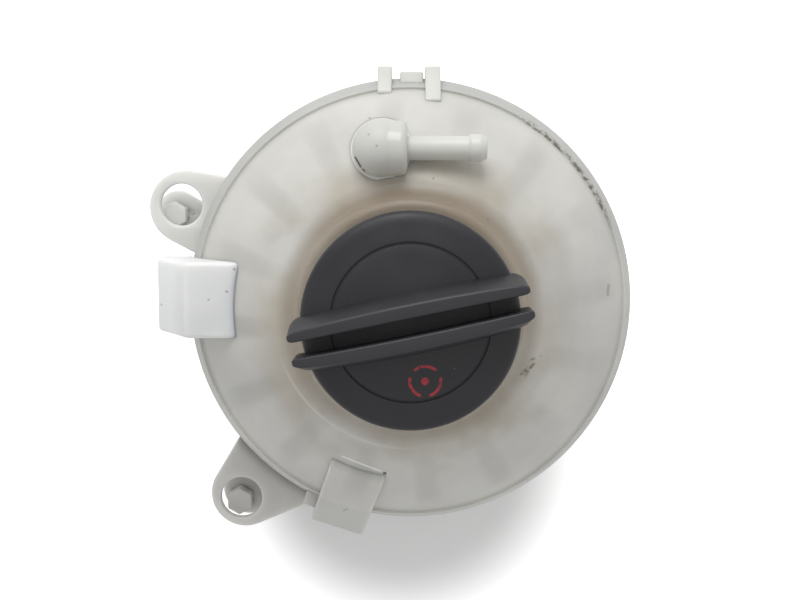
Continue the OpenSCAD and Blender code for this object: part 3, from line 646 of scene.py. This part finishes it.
def thread(base_r, depth, z_start, start_deg, sweep_deg):
    """Helical ridge. It stands outwards when depth is positive and inwards when it is negative."""
    steps = round(sweep_deg / 6)
    bm = bmesh.new()
    sunk = base_r - math.copysign(0.5, depth)
    crest = base_r + depth
    section = [(sunk, -thread_foot), (crest, -thread_crest), (crest, thread_crest), (sunk, thread_foot)]
    verts = [bm.verts.new((r * MM, 0, z * MM)) for r, z in section]
    bm.faces.new(verts)
    soften(bm, verts[1:3], 0.4 * MM, 3, "VERTICES")
    spun(bm, list(bm.faces), math.radians(sweep_deg), steps,
         dvec=(0, 0, thread_lead * sweep_deg / 360 / steps * MM))
    bmesh.ops.remove_doubles(bm, verts=bm.verts, dist=0.000001)
    for vert in bm.verts:
        turns = (vert.co.z / MM + thread_foot) / thread_lead
        angle = math.atan2(vert.co.y, vert.co.x) % math.tau
        whole = round((turns * math.tau - angle) / math.tau) * math.tau + angle
        left = min(whole, math.radians(sweep_deg) - whole)
        if left < thread_fade:
            share = max(0.02, left / thread_fade)
            radius = math.hypot(vert.co.x, vert.co.y)
            wanted = sunk * MM + (radius - sunk * MM) * share
            vert.co.x *= wanted / radius
            vert.co.y *= wanted / radius
    bmesh.ops.recalc_face_normals(bm, faces=bm.faces)
    start = Matrix.Translation((0, 0, z_start * MM)) @ Matrix.Rotation(math.radians(start_deg), 4, "Z")
    bmesh.ops.transform(bm, matrix=start, verts=bm.verts)
    return bm


# %% [markdown]
# ## The cap
# The real cap is one moulding: a slightly domed disc with a rounded rim, a ring groove, a skirt with
# a thread inside, and two long grip bars that lean together over a deep valley. The disc and skirt
# are turned. Each bar is extruded from its leaning section, rounded along its length, cut across so
# that it can bend, bowed outwards and lowered at its ends.

# %% Turned disc, rim and skirt
groove_r = 24.3
groove_w = 0.8
groove_d = 0.6
groove_soft = 0.18
rim_drop = 1.0
rim_h = 4.4
rim_round = 1.6
rim_edge = 1.2
rim_top = cap_top - sink(cap_r, cap_ball_r) - rim_drop


def disc_height(radius):
    """Height of the cap's outer face at a distance from its axis."""
    return cap_top - sink(radius, cap_ball_r)


groove_in, groove_out = groove_r - groove_w / 2, groove_r + groove_w / 2
disc_r = cap_r - rim_edge
steps_out = [disc_r - (disc_r - groove_out) * i / 6 for i in range(1, 6)]
steps_in = [groove_in * (1 - i / 8) for i in range(1, 8)]
disc_outline = [
    (0, cavity_top, 0), (housing_flange_r, cavity_top, 0.3), (housing_flange_r, neck_top + 1.2, 0),
    (lip_r, neck_top + 1.2, 0), (lip_r, neck_top + 0.2, 0.2), (skirt_bore_r, neck_top + 0.2, 0.3),
    (skirt_bore_r, skirt_low, 0.5), (skirt_r, skirt_low, 0.5), (skirt_r, rim_top - rim_h, 0.3),
    (cap_r, rim_top - rim_h, rim_edge), (cap_r, rim_top + 0.6, rim_round),
    *[(r, disc_height(r), 0) for r in steps_out],
    (groove_out, disc_height(groove_out), groove_soft), (groove_out, disc_height(groove_out) - groove_d, 0),
    (groove_in, disc_height(groove_in) - groove_d, 0), (groove_in, disc_height(groove_in), groove_soft),
    *[(r, disc_height(r), 0) for r in steps_in], (0, cap_top, 0)]
disc = turned(disc_outline)
print("cap disc has", len(disc.faces), "faces")

# %% One grip bar
grip_half = 37.0
grip_turn = math.radians(11.7)
bar_foot = 10.2
bar_ridge = 6.9
bar_edge = 2.65
bar_root = 3.4
bar_low = rim_top - 2.5
bar_shelf = bar_low + 4.5
bar_cuts = 36
end_inset = 0.8
bow = 2.4
crown = 2.4


def end_curve(x, length):
    """Quarter round that begins a given length before the bar's end, as a share from 0 to 1."""
    share = min(1, max(0, (abs(x) - grip_half + length) / length))
    return 1 - math.sqrt(1 - share * share)


def grip_bar(side):
    """A bar with a leaning, bowed outer face; side is 1 for the upper bar and -1 for the lower one."""
    section = [(bar_root, bar_low), (bar_edge, grip_top), (bar_ridge, grip_top), (bar_foot, bar_shelf),
               (bar_foot, bar_low)]
    bm = extruded([(-grip_half, y, z) for y, z in section], (2 * grip_half, 0, 0), unit=1)
    for height, offset in ((grip_top, 0.8), (bar_shelf, 1.2)):
        long_edges = [e for e in bm.edges if abs(e.verts[0].co.x - e.verts[1].co.x) > 1
                      and all(abs(v.co.z - height) < 0.01 for v in e.verts)]
        soften(bm, long_edges, offset, 4)
    caps = [f for f in bm.faces if abs(f.normal.x) > 0.9]
    soften(bm, list({e for f in caps for e in f.edges}), 0.5, 3)
    reach = grip_half - end_inset
    cuts = [-reach + 2 * reach * i / bar_cuts for i in range(bar_cuts + 1)]
    cuts += [side_x * (grip_half - d) for side_x in (-1, 1) for d in (1.2, 1.7, 2.2)]
    for x in cuts:
        bmesh.ops.bisect_plane(bm, geom=everything(bm), plane_co=(x, 0, 0), plane_no=(1, 0, 0))
    for vert in bm.verts:
        along = vert.co.x / grip_half
        across = (vert.co.y - bar_edge) / (bar_foot - bar_edge)
        inner = bar_edge - 0.3 * along ** 2 + 0.9 * end_curve(vert.co.x, 2.2)
        outer = bar_foot - bow * along ** 2 - 2.8 * end_curve(vert.co.x, 4.2)
        up = (vert.co.z - bar_low) / (grip_top - bar_low)
        vert.co.y = inner + across * (outer - inner)
        vert.co.z -= up * (crown * along ** 2 + 0.8 * end_curve(vert.co.x, 3.0))
    turn = Matrix.Rotation(grip_turn + (0 if side > 0 else math.pi), 4, "Z")
    bmesh.ops.transform(bm, matrix=turn @ Matrix.Scale(MM, 4), verts=bm.verts)
    bmesh.ops.recalc_face_normals(bm, faces=bm.faces)
    return bm


# %% Put the cap together
collar_top = skirt_low - 1
thread_rise = 3.2
thread_start = 200
cap_thread_z = collar_top + thread_rise - thread_lead / 2 + thread_lead * thread_start / 360
cap_body = collect(disc, grip_bar(1), grip_bar(-1),
                   thread(skirt_bore_r, -thread_depth, cap_thread_z, thread_start, 310))
finished(cap_body, "cap_moulding", [cap_plastic], "cap", ["cap_cover"])

# %% [markdown]
# ## The upper shell
# The upper half is one moulding: a sloped band over the weld, a dome with stiffening ribs inside, a
# collar and a threaded neck, a round vent elbow, a hooded pocket, a smaller bracket and two rails for
# a clip. The turned part's outline runs up the outside and back down the inside, so the neck is open
# when the cap comes off.

# %% Turned body of the upper shell
weld_h = 64.0
flange_r = 78.0
foot_r = 73.0
wall = 2.6
land_top = weld_h + 3
band_top = weld_h + 13
dome_cz = 33.5
dome_r = math.hypot(foot_r, band_top - dome_cz)
collar_r = 37.0
neck_r = 28.0
bore_r = 23.5
fillet_w = 7.0
shell_steps = 160


def dome_z(radius):
    """Height of the dome's outer face at a distance from the axis."""
    return dome_cz + math.sqrt(dome_r ** 2 - radius ** 2)


def angle_at(radius, ball):
    """Angle above the horizontal where a ball's outline has that radius, in degrees."""
    return math.degrees(math.acos(radius / ball))


def hollow_fillet(start, stop, share, steps):
    """Points of a hollow arc between two outline points, for the sweep up to the collar."""
    a, b = Vector(start), Vector(stop)
    radius = (b - a).length * share
    along = (b - a).normalized()
    centre = (a + b) / 2 + Vector((along.y, -along.x)) * math.sqrt(radius ** 2 - ((b - a).length / 2) ** 2)
    first = math.atan2(a.y - centre.y, a.x - centre.x)
    last = math.atan2(b.y - centre.y, b.x - centre.x)
    if last - first > math.pi:
        last -= math.tau
    elif first - last > math.pi:
        last += math.tau
    return arc(*centre, radius, math.degrees(first), math.degrees(last), steps)[1:-1]


fillet_foot = (collar_r + fillet_w, dome_z(collar_r + fillet_w))
inner_ball = dome_r - wall
upper_outline = [
    (foot_r - 2.2, weld_h, 0.2), (flange_r, weld_h, 0.7), (flange_r, land_top, 0.9),
    (foot_r + 1.5, band_top + 0.1, 0.5), (foot_r + 0.7, band_top - 0.6, 0.2),
    *arc(0, dome_cz, dome_r, angle_at(foot_r - 0.1, dome_r), angle_at(fillet_foot[0], dome_r), 18),
    *hollow_fillet(fillet_foot, (collar_r, collar_top - 0.8), 0.9, 8),
    (collar_r, collar_top, 2.4), (neck_r, collar_top, 0.6), (neck_r, neck_top, 0.7),
    (bore_r, neck_top, 0.6),
    *arc(0, dome_cz, inner_ball, angle_at(bore_r, inner_ball), angle_at(foot_r - wall, inner_ball), 16),
    (flange_r - wall - 1, land_top, 0), (foot_r - 2.2, land_top - 1, 0)]
dome_body = turned(upper_outline, steps=shell_steps)
print("dome has", len(dome_body.faces), "faces")

# %% Ribs under the dome
rib_t = 1.8
rib_depth = 10.0


def dome_ribs():
    """One rib as a face that is given its thickness, then copied round the axis."""
    outer, inner = dome_r - wall / 2, dome_r - wall - rib_depth
    outline = [*arc(0, dome_cz, outer, angle_at(neck_r + 4, outer), 23.0, 10),
               *arc(0, dome_cz, inner, 27.5, angle_at(neck_r + 4, inner), 10)]
    bm = extruded([(r, -rib_t / 2, z) for r, z, _ in outline], (0, rib_t, 0))
    spun(bm, everything(bm), math.tau * (rib_count - 1) / rib_count, rib_count - 1, use_duplicate=True)
    return bm


ribs = dome_ribs()
print("ribs have", len(ribs.faces), "faces")

# %% [markdown]
# ## Features that stand on the dome
# A moulded boss never meets a dome at a sharp corner. The elbow's wall is extruded down in small
# steps, each one a little wider and a little closer to the dome, so its foot sweeps into the dome
# with a real radius on the high side and on the low side alike.

# %% Vent elbow and tube
vent_at = Vector((-9.4, 53.228))
elbow_r = 9.2
elbow_foot = 1.3
foot_steps = 6
vent_z = dome_z(vent_at.length) + 6.9
vent_end_x = 24.5
shoulder_r = 8.8
shoulder_reach = 8.4
tube_r = 3.9
tube_bore_r = 2.2


def vent_elbow():
    """Ball-ended post whose wall sweeps out into the dome."""
    bm = bmesh.new()
    ball = [*arc(0, 0, elbow_r, 0, 84, 12), (0, elbow_r, 0)]
    verts = [bm.verts.new((r * MM, 0, z * MM)) for r, z, _ in ball]
    edges = [bm.edges.new(pair) for pair in zip(verts, verts[1:])]
    spun(bm, verts + edges, math.tau, 48, use_merge=True)
    bmesh.ops.remove_doubles(bm, verts=bm.verts, dist=MERGE_WITHIN)
    moved(bm, *vent_at, vent_z)
    loop = [e for e in bm.edges if e.is_boundary]
    for i in range(foot_steps + 1):
        turn = math.radians(90 * i / foot_steps)
        out = elbow_r + elbow_foot * (1 - math.cos(turn))
        up = elbow_foot * (1 - math.sin(turn)) - 0.25 * (i == foot_steps)
        grown = bmesh.ops.extrude_edge_only(bm, edges=loop)["geom"]
        loop = only(grown, bmesh.types.BMEdge)
        for vert in only(grown, bmesh.types.BMVert):
            away = (Vector(vert.co.xy) / MM - vent_at).normalized()
            spot = vent_at + away * out
            vert.co = Vector((spot.x, spot.y, min(dome_z(spot.length) + up, vent_z))) * MM
    merge_and_face_out(bm)
    return bm


def vent_shoulder():
    """Short thick root of the tube, which squares the elbow on the tube's side."""
    return laid(turned([(0, 0, 0), (shoulder_r, 0, 0), (shoulder_r, shoulder_reach, 2.2),
                        (0, shoulder_reach, 0)], steps=56), 0, *vent_at, vent_z)


def vent_tube():
    """Tube with its raised end for the hose and its bore."""
    span = vent_end_x - vent_at.x
    return laid(turned([
        (0, 5, 0), (tube_r, 5, 0), (tube_r, span - 5.9, 0.3), (tube_r + 0.6, span - 5.2, 0.3),
        (tube_r + 0.6, span - 1.9, 0.4), (tube_r - 0.5, span, 0.3), (tube_bore_r, span, 0.3),
        (tube_bore_r, 7, 0), (0, 7, 0)], steps=40), 0, *vent_at, vent_z)


elbow, shoulder, tube = vent_elbow(), vent_shoulder(), vent_tube()
print("vent has", len(elbow.faces) + len(shoulder.faces) + len(tube.faces), "faces")


# %% Hooded pocket and small bracket
def side_outline(reach, top_reach, top_h, side_top, low_h):
    """Side of a hood as (reach, height): over the top, down the front and back along the dome."""
    inner = math.sqrt(dome_r ** 2 - (top_h - dome_cz) ** 2) - 1.5
    back = [(flange_r - 0.8, low_h), (flange_r - 0.8, land_top), (foot_r, band_top - 0.5)]
    share = [i / 6 for i in range(1, 6)]
    along = [(foot_r - 1 + (inner - foot_r + 1) * s) for s in share]
    return [(inner, top_h), (top_reach, top_h), (reach, side_top), (reach, low_h), *back,
            *[(r, dome_z(r) - 1.0) for r in along if dome_z(r) - 1.0 < top_h - 0.3]]


def hood(width, shift, turn_deg, thickness, soft, **sizes):
    """Thin walled hood, open underneath and towards the dome, turned to its angle."""
    side = [(u, shift - width / 2, z) for u, z in side_outline(**sizes)]
    bm = extruded(side, (0, width, 0))
    open_sides = [f for f in bm.faces if len(f.verts) == 4 and (f.normal.x < -0.2 or f.normal.z < -0.5)]
    bmesh.ops.delete(bm, geom=open_sides, context="FACES")
    reach, side_top = sizes["reach"] * MM, sizes["side_top"] * MM
    level = [e for e in bm.edges if abs(e.verts[0].co.y - e.verts[1].co.y) < 1e-6]
    front = [e for e in level if all(v.co.x > reach - 1e-5 for v in e.verts)]
    slope = [e for e in level if e not in front and min(v.co.z for v in e.verts) > side_top - 1e-5
             and len(e.link_faces) == 2 and e.calc_face_angle() > 0.5]
    cross = [e for e in bm.edges if abs(e.verts[0].co.y - e.verts[1].co.y) > 1e-4
             and len(e.link_faces) == 2]
    soften(bm, front + slope + cross, soft * MM, 4)
    bmesh.ops.recalc_face_normals(bm, faces=bm.faces)
    bmesh.ops.solidify(bm, geom=list(bm.faces), thickness=thickness * MM)
    bmesh.ops.recalc_face_normals(bm, faces=bm.faces)
    return rotated(bm, turn_deg)


bracket_deg = 252
pocket = hood(25.6, -3.0, 180, 2.4, 1.6, reach=88.0, top_reach=75.2, top_h=weld_h + 31,
              side_top=weld_h + 10, low_h=weld_h + 1)
bracket = hood(19.0, 0.0, bracket_deg, 2.0, 0.8, reach=84.5, top_reach=59.0, top_h=weld_h + 33.2,
               side_top=weld_h + 9, low_h=weld_h - 4)
print("pocket has", len(pocket.faces), "faces, bracket has", len(bracket.faces), "faces")

# %% Clip rails and the step beside the bracket
clip_reach = 81.8
tongue_reach = clip_reach - 1.8
step_reach = 81.0


def rounded_block(outline, low_y, width, soft):
    """Block with a side outline of (reach, height), extruded sideways and softened, turned to +Y."""
    bm = extruded([(u, low_y, z) for u, z in outline], (0, width, 0))
    edges = [e for e in bm.edges if e.calc_face_angle() > 0.3]
    soften(bm, edges, soft * MM, 3)
    return rotated(bm, 90)


def clip_rail(low_y, width, inner):
    """One of the two rails, whose inner end runs up the dome to a distance from the axis."""
    return rounded_block([(foot_r - 0.6, weld_h + 1), (clip_reach, weld_h + 1), (clip_reach, weld_h + 7),
                          (inner, dome_z(inner) + 0.8), (inner - 1, dome_z(inner - 1) - 1),
                          (foot_r - 1.2, band_top - 1)], low_y, width, 0.5)


tongue = rounded_block([(foot_r - 0.6, weld_h + 1.5), (tongue_reach, weld_h + 1.5),
                        (tongue_reach, weld_h + 6.5), (foot_r + 3, weld_h + 7.5),
                        (foot_r - 0.6, band_top - 1)], -4.5, 8.0, 0.6)
bracket_step = rotated(rounded_block([(foot_r + 1, weld_h + 1), (step_reach, weld_h + 1),
                                      (step_reach, weld_h + 6), (foot_r + 1, weld_h + 9)],
                                     -14.0, 5.0, 0.5), bracket_deg - 90)
print("tongue has", len(tongue.faces), "faces, bracket step has", len(bracket_step.faces), "faces")

# %% Put the upper shell together
upper_body = collect(dome_body, ribs, use_finish(elbow, FIRM), use_finish(shoulder, FIRM),
                     use_finish(tube, FIRM), use_finish(pocket, THIN), bracket, bracket_step,
                     use_finish(clip_rail(6.3, 4.9, foot_r), FIRM),
                     use_finish(clip_rail(-10.4, 5.3, foot_r - 3), FIRM), use_finish(tongue, FIRM),
                     thread(neck_r, thread_depth, collar_top + thread_rise, 0, 400))
finished(upper_body, "upper_moulding", SHELL_FINISHES, "tank", ["upper_shell"])

# %% [markdown]
# ## The lower shell
# The lower half carries what meets the car: two lugs with holes, two arms with a hexagon and a
# locating peg, the hose nozzle and the boss of the level sensor. Flat plates start as a closed curve
# with a hole in it, whose own extrusion and bevel round the plate's edges, inside the hole too.

# %% Helpers for plates and boolean steps
HOLE_STEPS = 64


def polar(radius, degrees):
    return (radius * math.cos(math.radians(degrees)), radius * math.sin(math.radians(degrees)))


def plate(outline, low, high, soft, hole=None):
    """Rounded plate from an outline of (x, y) points, with one round hole given as (x, y, radius)."""
    curve = bpy.data.curves.new("plate", "CURVE")
    curve.dimensions = "2D"
    curve.fill_mode = "BOTH"
    curve.extrude = ((high - low) / 2 - soft) * MM
    curve.bevel_depth = soft * MM
    curve.bevel_resolution = 3
    curve.offset = -soft * MM
    loops = [outline]
    if hole:
        loops.append([spot[:2] for spot in arc(*hole, 0, 360, HOLE_STEPS)[:-1]])
    for loop in loops:
        spline = curve.splines.new("POLY")
        spline.points.add(len(loop) - 1)
        for point, (x, y) in zip(spline.points, loop):
            point.co = (x * MM, y * MM, 0, 1)
        spline.use_cyclic_u = True
    holder = linked("plate", curve)
    mesh = bpy.data.meshes.new_from_object(holder)
    bm = bmesh.new()
    bm.from_mesh(mesh)
    bpy.data.objects.remove(holder)
    bpy.data.curves.remove(curve)
    bpy.data.meshes.remove(mesh)
    moved(bm, 0, 0, (low + high) / 2)
    merge_and_face_out(bm)
    return bm


def wrapped(centre, radius, root_a, root_b, steps=28):
    """Outline of a lug: from its left root round the end circle to its right root."""
    cx, cy = centre

    def touch(point, side):
        dx, dy = point[0] - cx, point[1] - cy
        reach = math.hypot(dx, dy)
        return math.atan2(dy, dx) + side * math.acos(radius / reach)

    start, stop = touch(root_a, -1), touch(root_b, 1)
    while stop > start:
        stop -= math.tau
    while start - stop > math.tau:
        stop += math.tau
    end = arc(cx, cy, radius, math.degrees(start), math.degrees(stop), steps)
    return [root_a, *[spot[:2] for spot in end], root_b]


def carved(base, steps):
    """A bmesh after boolean steps, each an operation name and a bmesh, with the helpers removed."""
    start = linked("base", mesh_of(base, "base"))
    tools = []
    for kind, bm in steps:
        tool = linked("tool", mesh_of(bm, "tool"))
        tools.append(tool)
        step = start.modifiers.new(kind, "BOOLEAN")
        step.operation = kind
        step.solver = "EXACT"
        step.object = tool
    shape = start.evaluated_get(bpy.context.evaluated_depsgraph_get())
    mesh = bpy.data.meshes.new_from_object(shape)
    made = bmesh.new()
    made.from_mesh(mesh)
    bpy.data.meshes.remove(mesh)
    for obj in [start, *tools]:
        mesh = obj.data
        bpy.data.objects.remove(obj)
        bpy.data.meshes.remove(mesh)
    return made


# %% Bowl with its nozzle and sensor boss
base_r = 30.0
flange_low = weld_h - 6
bowl_cz = (flange_low ** 2 + foot_r ** 2 - base_r ** 2) / (2 * flange_low)
bowl_r = math.hypot(base_r, bowl_cz)
inner_r = bowl_r - wall
nozzle_h, nozzle_r, nozzle_bore_r, nozzle_reach = 14.0, 10.5, 8.0, 76.0
sensor_h, sensor_bore_r, boss_r, boss_reach = 18.0, 9.0, 12.2, 67.0
pipe_steps = 72


def bowl_x(z):
    """Radius of the bowl's outer face at a height."""
    return math.sqrt(bowl_r ** 2 - (z - bowl_cz) ** 2)


def low_angle(radius, z):
    """Angle of a point of the bowl's outline, seen from the ball's centre, in degrees."""
    return math.degrees(math.atan2(z - bowl_cz, radius))


def rod(radius, start, stop):
    """Plain rod along Z."""
    return turned([(0, start, 0), (radius, start, 0), (radius, stop, 0), (0, stop, 0)], steps=pipe_steps)


floor_r = math.sqrt(inner_r ** 2 - (wall - bowl_cz) ** 2)
rim_in = math.sqrt(inner_r ** 2 - (weld_h - bowl_cz) ** 2)
bowl = turned([
    (0, 0, 0), (base_r, 0, 2.0),
    *arc(0, bowl_cz, bowl_r, low_angle(bowl_x(4), 4), low_angle(foot_r, flange_low) - 0.6, 24),
    (foot_r, flange_low - 0.1, 0), (flange_r, flange_low, 0.8), (flange_r, weld_h, 0.5),
    (rim_in, weld_h, 0.3),
    *arc(0, bowl_cz, inner_r, low_angle(rim_in, weld_h) - 0.6, low_angle(floor_r, wall), 24),
    (0, wall, 0)], steps=shell_steps)
nozzle = laid(turned([
    (0, bowl_x(nozzle_h) - 3, 0), (nozzle_r, bowl_x(nozzle_h) - 3, 0), (nozzle_r, nozzle_reach - 6.6, 0.3),
    (nozzle_r + 0.8, nozzle_reach - 6, 0.3), (nozzle_r + 0.8, nozzle_reach - 4, 0.5),
    (nozzle_r - 0.4, nozzle_reach, 0.4), (0, nozzle_reach, 0)], steps=pipe_steps), -90, 0, 0, nozzle_h)
boss = laid(turned([
    (0, bowl_x(sensor_h) - 4, 0), (boss_r, bowl_x(sensor_h) - 4, 0), (boss_r, boss_reach, 0.8),
    (0, boss_reach, 0)], steps=pipe_steps), 0, 0, 0, sensor_h)
bores = collect(laid(rod(nozzle_bore_r, 45, 80), -90, 0, 0, nozzle_h),
                laid(rod(sensor_bore_r, 45, 70), 0, 0, 0, sensor_h))
bowl_body = carved(bowl, [("UNION", nozzle), ("UNION", boss), ("DIFFERENCE", bores)])
print("bowl with nozzle and boss", len(bowl_body.faces), "faces")

# %% Lugs, arms, hexagons and pegs
lug_low, lug_high = 50.0, 54.0
lug_hole_r, lug_hole_out = 7.6, 2.2
arm_low, arm_high = 39.5, 42.5
hexagon_r, hexagon_sunk, post_top = 4.965, 0.4, 49.5
hexagon_shift = (-0.4, -1.4)
peg_r, peg_h, peg_tip = 4.0, 16.0, 2.0
web_t, web_drop = 2.4, 18.0


def hexagon_post(x, y):
    """Hexagonal stud that stands on the arm, a little beside the peg's axis."""
    bm = bmesh.new()
    bmesh.ops.create_cone(bm, cap_ends=True, segments=6, radius1=hexagon_r * MM, radius2=hexagon_r * MM,
                          depth=(post_top - arm_high + hexagon_sunk) * MM)
    soften(bm, list(bm.edges), 0.45 * MM, 3)
    return moved(bm, x + hexagon_shift[0], y + hexagon_shift[1], (post_top + arm_high - hexagon_sunk) / 2)


def locating_peg(x, y):
    """Round peg below the arm, with a pointed tip."""
    low = arm_low - peg_h
    return moved(turned([(0, low, 0), (peg_r - 1.2, low, 0.5), (peg_r, low + peg_tip, 0.6),
                         (peg_r, arm_low + 0.3, 0), (0, arm_low + 0.3, 0)], steps=40), x, y, 0)


def lug_web(degrees):
    """Thin wall that holds the lug up from the bowl."""
    low = lug_low - web_drop
    side = [(bowl_x(lug_low) - 1.6, lug_low + 0.4), (bowl_x(lug_low) + 3.5, lug_low + 0.4),
            (bowl_x(low) - 1, low), (bowl_x(low) - 1.8, low)]
    return rotated(extruded([(u, -web_t / 2, z) for u, z in side], (0, web_t, 0)), degrees)


def lug(angle, reach, end_r, roots, post_shift, arm_end, arm_roots, slit=None):
    """A lug with its hole, the arm below it, and the hexagon and peg on the arm."""
    hole = Vector(polar(reach + lug_hole_out, angle))
    post = hole + Vector(post_shift)
    root_r = bowl_x(lug_high) - 1.6
    outline = wrapped(polar(reach, angle), end_r, polar(root_r + roots[2], roots[0]),
                      polar(root_r, roots[1]))
    top = plate(outline + [polar(root_r - 6, angle)], lug_low, lug_high, 0.7,
                (hole.x, hole.y, lug_hole_r))
    post_deg = math.degrees(math.atan2(post.y, post.x))
    arm_root = bowl_x(arm_low) - 1.4
    arm_line = wrapped(tuple(hole + Vector(arm_end[:2])), arm_end[2],
                       *[polar(arm_root, post_deg + turn) for turn in arm_roots])
    arm = plate(arm_line, arm_low, arm_high, 0.5, slit)
    return collect(use_finish(top, PLAIN), use_finish(arm, PLAIN),
                   use_finish(hexagon_post(post.x, post.y), PLAIN), locating_peg(post.x, post.y),
                   lug_web(roots[1]))


upper_left_lug = lug(157.9, 87.1, 13.5, (170.5, 143.5, 0), (-3.2, -2.4), (-3.2, -2.4, 7.4), (10, -2.5),
                     (-81.0, 30.3, 1.1))
lower_left_lug = lug(230.1, 94.88, 12.48, (249, 216.5, 7), (-1.0, -1.4), (1.5, 0.6, 9.6), (8, -8))
lower_body = collect(bowl_body, upper_left_lug, lower_left_lug)
finished(lower_body, "lower_moulding", SHELL_FINISHES, "tank", ["lower_shell"])

# %% [markdown]
# ## Springs
# The two valve springs are wound with the same screwing spin as the threads. Their end turns are closed.

# %% Valve springs
STEPS_PER_COIL = 28


def spring(mean_r, wire_r, low, high, turns, sides):
    """Compression spring with one closed turn at each end, as one bmesh."""
    bm = bmesh.new()
    ring = bmesh.ops.create_circle(bm, cap_ends=False, segments=sides, radius=wire_r * MM)["verts"]
    stand = Matrix.Translation((mean_r * MM, 0, (low + wire_r) * MM)) @ Matrix.Rotation(math.pi / 2, 4, "X")
    bmesh.ops.transform(bm, matrix=stand, verts=ring)
    bmesh.ops.contextual_create(bm, geom=list(bm.edges))
    end = everything(bm)
    rise = high - low - 2 * wire_r
    closed = wire_r * 1.9
    for sweep, climb in ((1.0, closed), (turns - 2.0, rise - 2 * closed), (1.0, closed)):
        steps = round(sweep * STEPS_PER_COIL)
        end = spun(bm, end, math.tau * sweep, steps, dvec=(0, 0, climb / steps * MM))["geom_last"]
    merge_and_face_out(bm)
    return bm


big_low, big_high = frame_box("pressure_spring")
small_low, small_high = frame_box("vacuum_spring")
big = finished(spring(8.5, 0.88, big_low.z, big_high.z, 6, 12), "pressure_coil", [spring_steel], "plug",
               ["pressure_spring"])
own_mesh(big)
small = finished(spring(2.7, 0.28, small_low.z, small_high.z, 6, 8), "vacuum_coil", [spring_steel],
                 "pressure_valve", ["vacuum_spring"])
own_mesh(small)

# %% [markdown]
# ## Floor and light
# A pale floor takes the soft shadow. The key lamp is a large panel beyond the top of the picture, slightly
# to the left, and an even world fills the rest, so that a colour renders about as it is written. What the
# camera sees of the floor is lifted to white, except round a point on the tank's south side, where it is
# left darker as a painted shadow.

# %% Pale floor
floor_size = 3.0
floor_gap = 0.0002
painted_shadow_centre = (-0.003, -0.072, 0.0)


def floor_material():
    material, shader, coords = new_material("pale_floor")
    seen = place(coords, "LightPath").outputs["Is Camera Ray"]
    away = vectors("DISTANCE", coords, i1=painted_shadow_centre)["Value"]
    # Painted shadow: the lift stays low round a point on the tank's south side, so the floor there stays
    # dark.
    lift_past_shadow = spread(away, 0.043, 0.082, 0.02, 0.7, soft=True)
    wire(shader, Base_Color=srgb(238, 238, 238), Roughness=0.9, Emission_Color=(1.0, 1.0, 1.0, 1.0),
         Emission_Strength=times(seen, lift_past_shadow))
    return material


floor_bm = bmesh.new()
bmesh.ops.create_grid(floor_bm, x_segments=1, y_segments=1, size=floor_size)
bmesh.ops.translate(floor_bm, vec=(0, 0, min(0.0, cad_low.z) - floor_gap), verts=floor_bm.verts)
floor = linked("floor", mesh_of(floor_bm, "floor"))
floor.data.materials.append(floor_material())

# %% World and lamp
world = bpy.data.worlds.new("studio")
bpy.context.scene.world = world
world.use_nodes = True
wire(world.node_tree.nodes["Background"], Color=(1.0, 1.0, 1.0, 1.0), Strength=0.68)


def lamp(name, place_at, aim_at, watts, size):
    """Square soft panel that faces a point."""
    data = bpy.data.lights.new(name, "AREA")
    data.energy = watts
    data.size = size
    obj = linked(name, data)
    obj.location = place_at
    obj.rotation_euler = (Vector(aim_at) - Vector(place_at)).to_track_quat("-Z", "Y").to_euler()


lamp("key_panel", (-0.1, 0.96, 0.66), (0, 0, 0.05), 6.8, 0.7)

# %% [markdown]
# ## Camera
# The photograph looks almost straight down on the cap from about half a metre, from slightly north
# of the axis. The place, tilt and lens come from fitting the round edges of the cap and the flange.

# %% Camera at the photograph's view
lens = bpy.data.cameras.new("camera")
lens.sensor_width = 36.0
lens.lens = 58.5
camera = linked("camera", lens)
camera.location = (-0.001246, 0.047237, 0.524862)
camera.rotation_euler = (-0.102, 0.005, 0.0)
bpy.context.scene.camera = camera
bpy.context.scene.view_settings.view_transform = "Standard"
